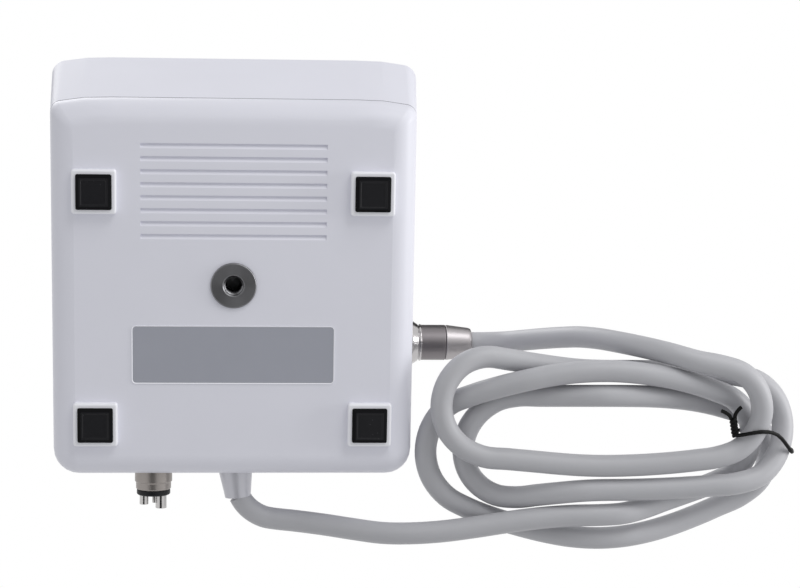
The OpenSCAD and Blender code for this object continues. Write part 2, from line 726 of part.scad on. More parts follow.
module hub_nut() {
  color([0.6, 0.6, 0.62])
  translate([0, 0, face_z + wall])
    difference() {
      cylinder(d = hub_nut_af / cos(30), h = hub_nut_h, $fn = 6);
      translate([0, 0, -1])
        cylinder(d = hub_shank_d + 2 * seat_gap, h = hub_nut_h + 2);
    }
}

module type_plate() {
  color([0.55, 0.55, 0.59])
  translate([0, plate_y, face_z - plate_t])
    linear_extrude(plate_t)
      box2(plate_w, plate_l, plate_r);
}

module control_fascia() {
  color([0.3, 0.33, 0.38])
  on_panel()
    difference() {
      translate([0, 0, -fascia_t])
        linear_extrude(fascia_t)
          box2(fascia_w, fascia_l, 4);
      translate([0, window_up, -fascia_t - 1])
        linear_extrude(fascia_t + 2)
          box2(window_w + 2 * seat_gap, window_l + 2 * seat_gap, 2);
      for (x = key_xs)
        translate([x, -key_down, -fascia_t - 1])
          cylinder(d = key_d + 2 * move_gap, h = fascia_t + 2);
    }
}

module display_window() {
  color([0.1, 0.14, 0.18, 0.6])
  on_panel()
    translate([0, window_up, -fascia_t])
      linear_extrude(fascia_t)
        box2(window_w, window_l, 2);
}

module display_module() {
  color([0.15, 0.3, 0.2])
  on_panel()
    translate([0, window_up, keypad_top])
      linear_extrude(display_t)
        box2(window_w + 2, window_l + 2, 0.5);
}

module keypad_board() {
  color([0.1, 0.4, 0.2])
  on_panel()
    difference() {
      union() {
        translate([0, 0, keypad_top - board_t])
          linear_extrude(board_t)
            box2(keypad_w, keypad_l, 2);
        for (x = key_xs) {
          translate([x - 3, -key_down - 3, keypad_top - eps])
            cube([6, 6, switch_top - keypad_top - 0.6]);
          translate([x, -key_down, keypad_top - eps])
            cylinder(d = 3, h = switch_top - keypad_top);
        }
      }
      for (p = keypad_posts)
        translate([p[0], p[1], keypad_top - board_t - 1])
          cylinder(d = small_screw_d + 2 * seat_gap, h = board_t + 2);
    }
}

module keypad_screws() {
  color([0.6, 0.6, 0.62])
  on_panel()
    for (p = keypad_posts)
      translate([p[0], p[1], keypad_top - board_t]) {
        cylinder(d = small_screw_d, h = board_t + small_screw_l - 0.4);
        translate([0, 0, -small_head_h])
          cylinder(d = small_head_d, h = small_head_h);
      }
}

// A key with its flange below the panel and a stem over its switch.
module key(i) {
  on_panel()
    translate([key_xs[i], -key_down, 0]) {
      rotate_extrude()
        polygon([[0, -wall - key_flange - 1.6], [1.5, -wall - key_flange - 1.6], [1.5, -wall - key_flange - seat_gap],
          [key_d / 2 + key_flange, -wall - key_flange - seat_gap], [key_d / 2 + key_flange, -wall - seat_gap],
          [key_d / 2, -wall - seat_gap], [key_d / 2, key_proud - 0.6], [key_d / 2 - 0.6, key_proud],
          [0, key_proud]]);
    }
}
module key_1() { color([0.75, 0.76, 0.78]) key(0); }
module key_2() { color([0.75, 0.76, 0.78]) key(1); }
module key_3() { color([0.75, 0.76, 0.78]) key(2); }
module key_4() { color([0.75, 0.76, 0.78]) key(3); }
module key_5() { color([0.75, 0.76, 0.78]) key(4); }
module key_6() { color([0.75, 0.76, 0.78]) key(5); }

module main_board() {
  color([0.1, 0.4, 0.2])
  difference() {
    union() {
      translate([0, board_y, board_z])
        linear_extrude(board_t)
          box2(board_w, board_l, 2);
      for (i = [1, 2])
        translate([board_right - i * (cap_d + 3), board_front + cap_d + corner_inset, board_z + board_t - eps])
          cylinder(d = cap_d, h = cap_h);
      translate([board_right - header_w, board_back - header_l * 2.4, board_z + board_t - eps])
        cube([header_w, header_l, header_h]);
    }
    for (b = board_posts)
      translate([b[0], b[1], board_z - 1])
        cylinder(d = small_screw_d + 2 * seat_gap, h = board_t + 2);
  }
}

module board_screws() {
  color([0.6, 0.6, 0.62])
  for (b = board_posts)
    translate([b[0], b[1], board_z + board_t]) {
      translate([0, 0, -board_t - small_screw_l])
        cylinder(d = small_screw_d, h = board_t + small_screw_l);
      cylinder(d = small_head_d, h = small_head_h);
    }
}

module heat_sink() {
  color([0.7, 0.7, 0.72])
  translate([sink_at[0] - sink_w / 2, sink_at[1] - sink_l / 2, board_z + board_t])
    union() {
      cube([sink_w, sink_l, 3]);
      for (i = [0 : sink_fins - 1])
        translate([i * (sink_w - fin_t) / (sink_fins - 1), 0, 0])
          cube([fin_t, sink_l, sink_h]);
    }
}

module pressure_sensor() {
  color([0.2, 0.2, 0.22])
  translate([sensor_at[0], sensor_at[1], board_z + board_t]) {
    translate([-sensor_w / 2, -sensor_w / 2, 0])
      cube([sensor_w, sensor_w, sensor_h]);
    translate([0, sensor_w / 2 - eps, sensor_h - nozzle_d])
      rotate([-90, 0, 0])
        cylinder(d = nozzle_d, h = nozzle_l);
  }
}

// Supply inlet. In its frame +Z points out of the wall and +Y points down.
inlet_tip = inlet_collar_l + inlet_end_l + gasket_t;
exhaust_xy = [3.3, 1.6];
drive_xy = [-4, 1.6];
small_xy = [[0.2, -3.8], [-3.6, -3.4]];
module inlet_body() {
  color([0.42, 0.4, 0.39])
  on_rear(-inlet_left, port_z)
    difference() {
      rotate_extrude()
        polygon([[0, -inlet_in], [inlet_shank_d / 2, -inlet_in], [inlet_shank_d / 2, 0], [inlet_d / 2, 0],
          [inlet_d / 2, inlet_collar_l - 0.4], [inlet_d / 2 - 0.4, inlet_collar_l], [inlet_end_d / 2, inlet_collar_l],
          [inlet_end_d / 2, inlet_collar_l + inlet_end_l - 0.6],
          [inlet_end_d / 2 - 0.6, inlet_collar_l + inlet_end_l], [0, inlet_collar_l + inlet_end_l]]);
      inlet_holes();
    }
}
module inlet_holes() {
  translate([exhaust_xy[0], exhaust_xy[1], -inlet_in - 1])
    cylinder(d = exhaust_d + 2 * seat_gap, h = inlet_in + inlet_tip + 2);
  translate([drive_xy[0], drive_xy[1], -inlet_in - 1])
    cylinder(d = drive_d + 2 * seat_gap, h = inlet_in + inlet_tip + 2);
  for (p = small_xy)
    translate([p[0], p[1], -inlet_in - 1])
      cylinder(d = small_d + 2 * seat_gap, h = inlet_in + inlet_tip + 2);
}

// Hexagon nut on the inside of the rear wall, and the notch that clears it in the seam's tongue.
function port_nut_d(d) = (d + 5) / cos(30);
module nut_notch(d) {
  translate([0, 0, -wall - 3 * port_nut_h])
    cylinder(d = port_nut_d(d) + 2 * move_gap, h = 3 * port_nut_h);
}
module port_nut(d) {
  translate([0, 0, -wall - seat_gap - port_nut_h])
    difference() {
      cylinder(d = port_nut_d(d), h = port_nut_h, $fn = 6);
      translate([0, 0, -1])
        cylinder(d = d + 2 * seat_gap, h = port_nut_h + 2);
    }
}
module inlet_nut() { color([0.6, 0.6, 0.62]) on_rear(-inlet_left, port_z) port_nut(inlet_shank_d); }
module gland_nut() { color([0.6, 0.6, 0.62]) on_rear(gland_right, port_z) port_nut(gland_shank_d); }

module inlet_gasket() {
  color([0.1, 0.1, 0.1])
  on_rear(-inlet_left, port_z)
    difference() {
      translate([0, 0, inlet_collar_l + inlet_end_l])
        cylinder(d = inlet_end_d - gasket_less, h = gasket_t);
      inlet_holes();
    }
}

module pipe(p, d, lo, hi) {
  translate([p[0], p[1], lo])
    difference() {
      cylinder(d = d, h = hi - lo);
      translate([0, 0, hi - lo - 5])
        cylinder(d = d - 1, h = 6);
    }
}
barb_in = inlet_in + 4;
module inlet_tubes() {
  color([0.62, 0.61, 0.6])
  on_rear(-inlet_left, port_z) {
    pipe(exhaust_xy, exhaust_d, -barb_in, inlet_tip + exhaust_out);
    pipe(drive_xy, drive_d, -barb_in, inlet_tip + drive_out);
    for (p = small_xy)
      pipe(p, small_d, -barb_in, inlet_tip + small_out);
  }
}

module exhaust_silencer() {
  color([0.75, 0.72, 0.62])
  on_rear(-inlet_left, port_z)
    translate([exhaust_xy[0], exhaust_xy[1], -barb_in - 16])
      cylinder(d = 7, h = 16);
}

// A point of the rear wall's frame, seen from the hub.
function rear_pt(x, v, d) = [x, wall_y(port_z), port_z] + d * out_dir - v * [0, sin(rear_draft), cos(rear_draft)];
function small_root(i) = rear_pt(small_xy[i][0] - inlet_left, small_xy[i][1], -barb_in);
gland_back = rear_pt(gland_right, 0, -gland_in);

module drive_air_tube() {
  a = rear_pt(drive_xy[0] - inlet_left, drive_xy[1], -barb_in);
  b = [sensor_at[0], sensor_at[1] + sensor_w / 2 + nozzle_l - eps, board_z + board_t + sensor_h - nozzle_d];
  color([0.3, 0.45, 0.7])
  sweep([a, a - 4 * out_dir, a - 10 * out_dir + [0, 0, 1], (a + b) / 2 + [0, 0, 3], b + [0, 9, 1], b + [0, 4, 0], b],
    air_tube_d / 2, 8, -out_dir, [0, -1, 0]);
}
module service_tube(a, b, up) {
  sweep([a, a - 4 * out_dir, a + [2, -10, up / 2], a + [9, -15, up], [(a[0] + b[0]) / 2, a[1] - 17, a[2] + up],
    b + [-8, -14, up], b + [-2, -9, up / 2], b - 4 * out_dir, b], service_tube_d / 2, 8, -out_dir, out_dir);
}
module water_tube() {
  color([0.35, 0.6, 0.75])
  service_tube(small_root(0), gland_back + [-1.8, 0, 2], 6);
}
module chip_air_tube() {
  color([0.75, 0.75, 0.78])
  service_tube(small_root(1), gland_back + [1.8, 0, 2], 12);
}

module hose_gland() {
  steps = 6;
  color([0.63, 0.635, 0.65]) {
    sweep(concat([gland_root, gland_root + gland_straight / 2 * out_dir],
      [for (i = [0 : steps]) bend_at(gland_bend * i / steps)]),
      concat([gland_d / 2, gland_d / 2 - 0.2],
      [for (i = [0 : steps]) gland_d / 2 - 0.5 - (gland_d / 2 - 0.5 - gland_end_d / 2) * i / steps]),
      24, out_dir, bend_dir(gland_bend));
    on_rear(gland_right, port_z)
      translate([0, 0, -gland_in])
        cylinder(d = gland_shank_d, h = gland_in + 1);
  }
}

// Power switch on the rear wall.
pivot_z = -1.4;
pivot_l = 0.5;
rocker_l = switch_l - 4;
rocker_w = switch_w - 4;
module switch_housing() {
  color([0.15, 0.15, 0.16])
  on_rear(switch_right, power_z)
    difference() {
      union() {
        linear_extrude(bezel_t)
          box2(switch_w, switch_l, 1.5);
        translate([0, 0, -15])
          linear_extrude(15 + eps)
            box2(switch_w - 2 - 2 * seat_gap, switch_l - 2 - 2 * seat_gap, 0.4);
      }
      translate([0, 0, -8])
        linear_extrude(20)
          box2(rocker_w + 2 * move_gap, rocker_l + 1.2, 0.3);
      translate([-rocker_w / 2 - pivot_l - move_gap, 0, pivot_z])
        rotate([0, 90, 0])
          cylinder(d = 2 + 2 * run_gap, h = rocker_w + 2 * (pivot_l + move_gap));
    }
}
module power_rocker() {
  color([0.05, 0.05, 0.05])
  on_rear(switch_right, power_z)
    translate([0, 0, pivot_z])
      rotate([rocker_turn / 2, 0, 0])
        union() {
          rotate([90, 0, 90])
            translate([0, 0, -rocker_w / 2])
              linear_extrude(rocker_w)
                polygon([[-rocker_l / 2, -1.4], [0, -4], [rocker_l / 2, -1.4], [rocker_l / 2, 4], [0, 2.8],
                  [-rocker_l / 2, 4]]);
          translate([-rocker_w / 2 - pivot_l, 0, 0])
            rotate([0, 90, 0])
              cylinder(d = 2, h = rocker_w + 2 * pivot_l);
        }
}

module low_voltage_inlet() {
  color([0.1, 0.1, 0.1])
  on_rear(jack_right, power_z) {
    difference() {
      union() {
        translate([0, 0, -wall - seat_gap])
          cylinder(d = jack_bore + 4, h = wall + seat_gap);
        translate([-6, -6, -wall - seat_gap - jack_depth])
          cube([12, 12, jack_depth + eps]);
      }
      translate([0, 0, -jack_depth])
        cylinder(d = jack_bore, h = jack_depth + 1);
    }
    translate([0, 0, -jack_depth - eps])
      cylinder(d = jack_pin, h = jack_depth - 1);
  }
}

module motor_sleeve() {
  color([0.62, 0.62, 0.64])
  on_motor(motor_x)
    rotate_extrude()
      polygon([[sleeve_in, 0], [sleeve_r - 0.8, 0], [sleeve_r, 0.8], [sleeve_r, sleeve_l - 0.3],
        [sleeve_r - 0.3, sleeve_l], [sleeve_in, sleeve_l]]);
}

seal_xs = [for (i = [0 : 3]) 3 + i * (nose_l - 6) / 3];
module motor_nose() {
  color([0.7, 0.7, 0.72])
  on_motor(nose_x)
    difference() {
      rotate_extrude()
        polygon([[0, 0], [tip_d / 2 - 0.5, 0], [tip_d / 2, 0.5], [tip_d / 2, tip_l], [nose_d / 2 - 0.5, tip_l],
          [nose_d / 2, tip_l + 0.5], [nose_d / 2, tip_l + nose_l], [plug_r, tip_l + nose_l],
          [plug_r, tip_l + nose_l + plug_l], [0, tip_l + nose_l + plug_l]]);
      translate([0, 0, -1])
        cylinder(d = tip_d - 2.4, h = tip_l + nose_l - 2);
      translate([0, 0, tip_l + nose_l - 4])
        cylinder(d = shaft_d + 1, h = plug_l + 5);
      translate([0, 0, tip_l + nose_l + plug_l - bearing_w - 1])
        cylinder(d = bearing_d + 2 * run_gap, h = bearing_w + 2);
      for (s = seal_xs)
        translate([0, 0, tip_l + s])
          rotate_extrude()
            translate([nose_d / 2 - seal_d / 2 + 0.2, -seal_d / 2 - seat_gap])
              square([seal_d, seal_d + 2 * seat_gap]);
    }
}

module nose_seals() {
  color([0.1, 0.1, 0.1])
  on_motor(nose_x)
    for (s = seal_xs)
      translate([0, 0, tip_l + s])
        rotate_extrude()
          translate([nose_d / 2 + seat_gap * 2, 0])
            circle(d = seal_d - seat_gap * 2 + 0.1, $fn = 20);
}

module stator() {
  color([0.72, 0.45, 0.2])
  on_motor(stator_x)
    difference() {
      cylinder(r = plug_r, h = stator_l);
      translate([0, 0, -1])
        cylinder(d = rotor_d + 2 * move_gap, h = stator_l + 2);
    }
}

module rotor_shaft() {
  color([0.5, 0.5, 0.52])
  on_motor(nose_x) {
    translate([0, 0, 4])
      cylinder(d = shaft_d, h = flange_x + flange_l - 1 - nose_x - 4);
    translate([0, 0, stator_x - nose_x + 1])
      cylinder(d = rotor_d, h = stator_l - 2);
  }
}

module drive_dog() {
  color([0.45, 0.45, 0.47])
  on_motor(nose_x + 2)
    difference() {
      cylinder(d = shaft_d + 2.4, h = 10);
      translate([0, 0, 2 - eps])
        cylinder(d = shaft_d + 2 * run_gap, h = 9);
      translate([-4, -0.6, -1])
        cube([8, 1.2, 2.6]);
    }
}

module bearing() {
  difference() {
    cylinder(d = bearing_d, h = bearing_w);
    translate([0, 0, -1])
      cylinder(d = shaft_d + 2 * run_gap, h = bearing_w + 2);
  }
}
module front_bearing() { color([0.75, 0.75, 0.78]) on_motor(motor_x + plug_l - bearing_w) bearing(); }
module rear_bearing() { color([0.75, 0.75, 0.78]) on_motor(flange_x) bearing(); }

module rear_flange() {
  color([0.6, 0.6, 0.62])
  on_motor(flange_x)
    difference() {
      cylinder(r = plug_r, h = flange_l);
      translate([0, 0, -1])
        cylinder(d = bearing_d + 2 * run_gap, h = bearing_w + 1);
      translate([0, 0, -1])
        cylinder(d = shaft_d + 1, h = flange_l + 2);
    }
}

ring_r = nut_d / 2 + 0.35;
ring_end = tail_cone_l + tail_groove_w + tail_ring_w;
module motor_tail() {
  color([0.5, 0.5, 0.51])
  on_motor(tail_x)
    rotate_extrude()
      polygon([[nut_d / 2 - 2.4, -4], [plug_r, -4], [plug_r, 0], [sleeve_r - 0.3, 0], [sleeve_r - 0.5, 0.5],
        [ring_r, tail_cone_l], [ring_r - 0.5, tail_cone_l], [ring_r - 0.5, tail_cone_l + tail_groove_w],
        [ring_r, tail_cone_l + tail_groove_w], [ring_r, ring_end], [nut_d / 2, ring_end], [nut_d / 2, tail_l],
        [nut_d / 2 - 2.4, tail_l]]);
}

module tail_nut() {
  color([0.6, 0.6, 0.61])
  on_motor(nut_x + seat_gap)
    difference() {
      rotate_extrude()
        polygon(concat([[0, 0], [nut_d / 2, 0]],
          [for (a = [0 : 15 : 90])
            [nut_end_d / 2 - nut_round + nut_round * cos(a), nut_l - nut_round + nut_round * sin(a)]],
          [[0, nut_l]]));
      translate([0, 0, -1])
        cylinder(d = nut_d - 4.8, h = nut_l - 3);
    }
}

module hose_lead() {
  color([0.6, 0.6, 0.61])
  sweep(lead_points, hose_r, 10, bend_dir(gland_bend), [1, 0, 0]);
}

module hose_coil() {
  p = coil_points(16);
  fine = coil_points(128);
  echo(coil_least_gap = coil_gap(fine, 24));
  echo(hose_length = path_len(lead_points) + path_len(fine) + path_len(riser_points));
  color([0.6, 0.6, 0.61])
  sweep(p, hose_r, 6, [1, 0, 0], coil_end_dir);
}

module hose_riser() {
  color([0.6, 0.6, 0.61])
  sweep(riser_points, hose_r, 10, coil_end_dir, [-1, 0, 0]);
}

// Wire tie around the four strands at the right end of the coil, in an upright plane turned a little.
tie_at = [224.6, 67.4];
tie_turn = 18;
tie_gap = 0.7;
function tie_along(p) = (p[0] - tie_at[0]) * cos(tie_turn) + (p[1] - tie_at[1]) * sin(tie_turn);
function tie_off(p) = (p[1] - tie_at[1]) * cos(tie_turn) - (p[0] - tie_at[0]) * sin(tie_turn);
tie_seats = [for (k = [0 : 3]) for (q = [0.3 : 0.005 : 0.68])
  let (p = turn_right(k, q)) if (abs(tie_off(p)) < (k == 1 ? 7 : 3.6)) [tie_along(p), p[2]]];
module tie_outline(g) {
  hull()
    for (p = tie_seats)
      translate(p)
        circle(r = hose_r + g, $fn = 32);
}
module coil_tie() {
  color([0.06, 0.06, 0.06])
  translate([tie_at[0], tie_at[1], 0])
    rotate([0, 0, tie_turn])
      translate([0, tie_w / 2, 0])
        rotate([90, 0, 0])
          linear_extrude(tie_w)
            difference() {
              tie_outline(tie_gap + tie_t);
              tie_outline(tie_gap);
            }
}

bottom_shell();
top_cover();
motor_cradle();
rubber_feet();
housing_screws();
stand_hub();
hub_nut();
type_plate();
control_fascia();
display_window();
display_module();
keypad_board();
keypad_screws();
key_1();
key_2();
key_3();
key_4();
key_5();
key_6();
main_board();
board_screws();
heat_sink();
pressure_sensor();
inlet_body();
inlet_nut();
inlet_gasket();
inlet_tubes();
exhaust_silencer();
drive_air_tube();
water_tube();
chip_air_tube();
hose_gland();
gland_nut();
switch_housing();
power_rocker();
low_voltage_inlet();
motor_sleeve();
motor_nose();
nose_seals();
stator();
rotor_shaft();
drive_dog();
front_bearing();
rear_bearing();
rear_flange();
motor_tail();
tail_nut();
hose_lead();
hose_coil();
hose_riser();
coil_tie();
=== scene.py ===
# %% [markdown]
# # A dental micromotor, seen from below
# This lesson dresses a finished mechanical model: a desk control box that stands on four rubber
# feet, a slim motor that lies in a cradle across its top, and the grey hose between them.
# The frame already holds every piece at its real size and place, so nothing here is scaled or
# moved. Each step replaces a plain piece with a detailed one, or gives it a better finish.

# %% Load the frame
import math
import bmesh
import bpy
from mathutils import Matrix, Vector


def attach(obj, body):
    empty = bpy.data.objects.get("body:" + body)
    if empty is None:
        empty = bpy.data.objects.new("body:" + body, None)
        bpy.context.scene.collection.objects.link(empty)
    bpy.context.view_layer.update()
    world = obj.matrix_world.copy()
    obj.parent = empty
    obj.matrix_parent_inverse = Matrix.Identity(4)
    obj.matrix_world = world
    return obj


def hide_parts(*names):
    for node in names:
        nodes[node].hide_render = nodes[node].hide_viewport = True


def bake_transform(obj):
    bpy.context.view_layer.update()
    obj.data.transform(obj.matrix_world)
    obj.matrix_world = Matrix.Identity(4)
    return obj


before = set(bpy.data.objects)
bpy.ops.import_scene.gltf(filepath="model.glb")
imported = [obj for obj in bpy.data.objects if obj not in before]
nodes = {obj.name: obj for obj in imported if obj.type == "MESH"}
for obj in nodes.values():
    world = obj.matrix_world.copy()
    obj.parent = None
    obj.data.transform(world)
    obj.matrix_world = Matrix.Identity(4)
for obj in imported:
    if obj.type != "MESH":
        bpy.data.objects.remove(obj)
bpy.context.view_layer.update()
scene = bpy.context.scene
MM = 0.001
print("pieces in the frame:", len(nodes))

# %% [markdown]
# ## The camera
# The photograph looks up at the underside from a little in front of the box, through a long
# lens. A camera can be aimed with a constraint, but here its three axes and its place are known,
# so they are written straight into its matrix: image right, image up and backwards.

# %% Camera
lens_data = bpy.data.cameras.new("camera")
lens_data.lens = 95.85
lens_data.sensor_width = 36
lens_data.clip_start = 0.05
lens_data.clip_end = 30
camera = bpy.data.objects.new("camera", lens_data)
image_right = Vector((0.99735, -0.01847, -0.07032))
image_down = Vector((0.00543, 0.98340, -0.18137))
image_depth = Vector((0.07250, 0.18051, 0.98090))
camera_place = Vector((0.00480, -0.15808, -0.87149))
camera_axes = Matrix((image_right, -image_down, -image_depth)).transposed().to_4x4()
camera.matrix_world = Matrix.Translation(camera_place) @ camera_axes
scene.collection.objects.link(camera)
scene.camera = camera
print("lens:", lens_data.lens, "mm")

# %% [markdown]
# ## The way of the hose
# The hose leaves the boot on the rear wall, sinks to the table, runs through a coil of a little
# over three turns and climbs to the tail of the motor. Its way is a list of points, here in
# millimetres: the loose stretches are given one by one, and the coil follows a rule, half an oval
# at a time, that also says how high each pass lies where it goes over another one. A spline through
# all the points gives the smooth centre line that the tube needs.

# %% Points along the hose
HOSE_SKIN = 4.74
DRAFT = math.radians(5.389312)
WALL_OUT = Vector((0, math.cos(DRAFT), -math.sin(DRAFT)))
BOOT_ROOT = Vector((1, 83.849057, 24))
BOOT_STRAIGHT = 4
BOOT_BEND_R = 18
LEAD_ANGLES = (26, 38, 52, 68, 84)


def boot_point(angle):
    """The hose's place in its first bend, by how far it has turned in degrees."""
    a = math.radians(angle)
    bend = math.sin(a) * WALL_OUT + (1 - math.cos(a)) * Vector((1, 0, 0))
    return BOOT_ROOT + BOOT_STRAIGHT * WALL_OUT + BOOT_BEND_R * bend


lead = [boot_point(angle) for angle in LEAD_ANGLES] + [Vector(p) for p in (
    (28, 106.5, 20.5), (40, 107, 16.5), (52, 107.5, 11.5), (64, 108, 7.5), (76, 107.6, 5.4),
    (89, 106.6, 4.7), (103, 104.8, 4.7), (117, 102.6, 4.7), (131, 100.8, 4.7), (145, 99.7, 4.7))]
print("lead:", len(lead), "points")

# %% The coil's rule
COIL_MID = 158
COIL_FRONT = (99.4, 111.2, 88.3, 77.6)
COIL_BACK = (36, 46.8, 38.1)
COIL_RIGHT = (225.1, 235.6, 239, 226.4)
COIL_LEFT = (82.6, 98.9, 88.1)
RIGHT_R = (20.9, 20.4, 22.2, 20.1)
LEFT_R = (26.3, 22.1, 21.3)
LEFT_SLANT = (0, 5.2, -6.6)
LAST_HALF = 23.9
FLOOR_Z = 4.7
LAYER = 10.3
CROSS_H = 5
RIGHT_H = (12.4, 23.1, 15.2)
TIE_LIFT = 1.8
HALF_STEPS = 16
LAST_STEPS = 12


def ease(t):
    """A soft step from 0 to 1."""
    t = min(max(t, 0), 1)
    return t * t * (3 - 2 * t)


def climb(s, start, over):
    """The share of a rise that begins at the place s = start and takes so much of s."""
    return ease((s - start) / over)


def half_oval(a, b, r, share):
    """The place at a share of half an oval, a long and b high; s is 0 on top, 12 at the bottom."""
    long_r = ((a - r) ** 2 + b * b - r * r) / (2 * (b - r))
    sweep = math.asin((a - r) / (long_r - r))
    run, arc = long_r * sweep, r * (math.pi - 2 * sweep)
    way = share * (2 * run + arc)
    if run <= way < run + arc:
        s = 3 + 6 * (way - run) / arc
        t = math.pi / 2 - sweep - (math.pi - 2 * sweep) * (s - 3) / 6
        return a - r + r * math.cos(t), r * math.sin(t), s
    s = 3 * way / run if way < run else 9 + 3 * (way - run - arc) / run
    t = sweep * min(s, 12 - s) / 3
    y = b - long_r + long_r * math.cos(t)
    return long_r * math.sin(t), y if s < 3 else -y, s


def right_turn(k, share):
    """A place on the right half of turn k; up is how high that pass lies over the floor."""
    b = LAST_HALF if k == 3 else (COIL_FRONT[k] - COIL_BACK[k]) / 2
    x, y, s = half_oval(COIL_RIGHT[k] - COIL_MID, b, RIGHT_R[k], share)
    if k == 0:
        up = RIGHT_H[0] * (climb(s, 0.16, 1.9) if s < 6 else 1 - climb(s, 7.6, 3.75))
    elif k == 1 and s < 6:
        up = CROSS_H + (RIGHT_H[1] - CROSS_H) * climb(s, 0, 3.2)
    elif k == 1:
        up = RIGHT_H[1] * (1 - climb(s, 8.75, 3.25))
    elif k == 2:
        up = RIGHT_H[2] * climb(s, 2.6, 4.35) - (RIGHT_H[2] - LAYER) * climb(s, 9, 2.95)
    else:
        up = TIE_LIFT * ease(1 - abs(s - 4.6) / 2.4)
    return Vector((COIL_MID + x, COIL_FRONT[k] - b + y, FLOOR_Z + up))


def left_turn(k, share):
    """A place on the left half of turn k."""
    a, b = COIL_MID - COIL_LEFT[k], (COIL_FRONT[k + 1] - COIL_BACK[k]) / 2
    x, y, s = half_oval(a, b, LEFT_R[k], share)
    if k == 0:
        up = LAYER * climb(s, 1.4, 2.55) - (LAYER - CROSS_H) * climb(s, 10.1, 1.75)
    elif k == 1:
        up = LAYER * min(climb(s, 0, 4), 1 - climb(s, 6.95, 4.35))
    else:
        up = LAYER * (1 - climb(s, 1, 5.2))
    return Vector((COIL_MID - x, COIL_BACK[k] + b - y + LEFT_SLANT[k] * ease(x / a), FLOOR_Z + up))


coil = []
for k in range(3):
    coil += [right_turn(k, i / HALF_STEPS) for i in range(HALF_STEPS)]
    coil += [left_turn(k, i / HALF_STEPS) for i in range(HALF_STEPS)]
coil += [right_turn(3, i / HALF_STEPS) for i in range(LAST_STEPS)]
print("coil:", len(coil), "points")

# %% The rise to the motor, and the whole line
LINE_STEPS = 5
riser = [Vector(p) for p in (
    (197, 31.6, 5.2), (185, 28.8, 8.4), (174.5, 27.4, 14.6), (166, 27, 22.2), (158.6, 27.2, 30.4),
    (151.6, 28.2, 38.8), (144.6, 30.2, 47.4), (137.4, 32.6, 56.2), (129.4, 35.2, 64.8),
    (122.5, 37.2, 71.2), (114.3, 38.2, 74.4), (107.7, 38.4, 75))]


def through(points, per_step):
    """A smooth line through all the points (a Catmull-Rom spline)."""
    ends = [2 * points[0] - points[1]] + points + [2 * points[-1] - points[-2]]
    line = []
    for p0, p1, p2, p3 in zip(ends, ends[1:], ends[2:], ends[3:]):
        for i in range(per_step):
            t = i / per_step
            line.append(0.5 * (2 * p1 + (p2 - p0) * t + (2 * p0 - 5 * p1 + 4 * p2 - p3) * t ** 2
                               + (3 * p1 - p0 - 3 * p2 + p3) * t ** 3))
    return line + [points[-1]]


hose_line = [p * MM for p in through(lead + coil + riser, LINE_STEPS)]

# %% [markdown]
# ## Tools used all the way through
# An operator acts on whatever is selected, so each step starts by clearing the selection. The
# helpers below start a piece from a primitive, pick its faces or edges by their place, and close
# a piece: smooth shading with sharp edges kept, a finish, and the body that carries it.

# %% Helpers for modelling
MERGE = 2e-6


def clear():
    """Back to object mode, with nothing selected."""
    if bpy.context.object and bpy.context.object.mode != "OBJECT":
        bpy.ops.object.mode_set(mode="OBJECT")
    bpy.ops.object.select_all(action="DESELECT")


def take(piece):
    """Selects one piece alone."""
    clear()
    piece.select_set(True)
    bpy.context.view_layer.objects.active = piece
    return piece


def start(name, add, **sizes):
    """A new piece from a primitive, with its place and size in its mesh."""
    clear()
    add(**sizes)
    piece = bpy.context.object
    piece.name = piece.data.name = name
    bpy.ops.object.transform_apply(location=True, rotation=True, scale=True)
    return piece


def edit(piece, kind="FACE"):
    """Opens a piece in edit mode, with nothing selected in it."""
    take(piece)
    bpy.ops.object.mode_set(mode="EDIT")
    bpy.ops.mesh.select_mode(type=kind)
    bpy.ops.mesh.select_all(action="DESELECT")


def pick_faces(piece, test):
    mesh = bmesh.from_edit_mesh(piece.data)
    for face in mesh.faces:
        face.select_set(test(face.calc_center_median(), face.normal))
    bmesh.update_edit_mesh(piece.data)


def pick_edges(piece, test):
    mesh = bmesh.from_edit_mesh(piece.data)
    for edge in mesh.edges:
        edge.select_set(test(edge.verts[0].co, edge.verts[1].co))
    bmesh.update_edit_mesh(piece.data)


def close_mesh():
    """In edit mode: merges what lies in one place and turns all faces outwards."""
    bpy.ops.mesh.select_all(action="SELECT")
    bpy.ops.mesh.remove_doubles(threshold=MERGE)
    bpy.ops.mesh.normals_make_consistent(inside=False)


def apply_modifier(piece, kind, **settings):
    take(piece)
    modifier = piece.modifiers.new(kind.lower(), kind)
    for key, value in settings.items():
        setattr(modifier, key, value)
    bpy.ops.object.modifier_apply(modifier=modifier.name)


def soften_edges(piece, width, segments, angle):
    """A narrow bevel along all edges that are sharper than the angle, in degrees."""
    apply_modifier(piece, "BEVEL", width=width * MM, segments=segments, limit_method="ANGLE",
                   angle_limit=math.radians(angle), use_clamp_overlap=True)


def join(pieces, name):
    clear()
    for piece in pieces:
        piece.select_set(True)
    whole = bpy.context.view_layer.objects.active = pieces[0]
    bpy.ops.object.join()
    whole.name = whole.data.name = name
    return whole


def copy_of(piece, name, matrix):
    """A copy with a mesh of its own, laid in its place."""
    twin = bpy.data.objects.new(name, piece.data.copy())
    scene.collection.objects.link(twin)
    twin.matrix_world = matrix
    take(twin)
    bpy.ops.object.transform_apply(location=True, rotation=True, scale=True)
    return twin


def lay(piece, matrix):
    """Moves a piece that was made at the origin to its place, in its mesh."""
    take(piece)
    piece.matrix_world = matrix
    bpy.ops.object.transform_apply(location=True, rotation=True, scale=True)
    return piece


def paint(piece, material):
    piece.data.materials.clear()
    piece.data.materials.append(material)
    return piece


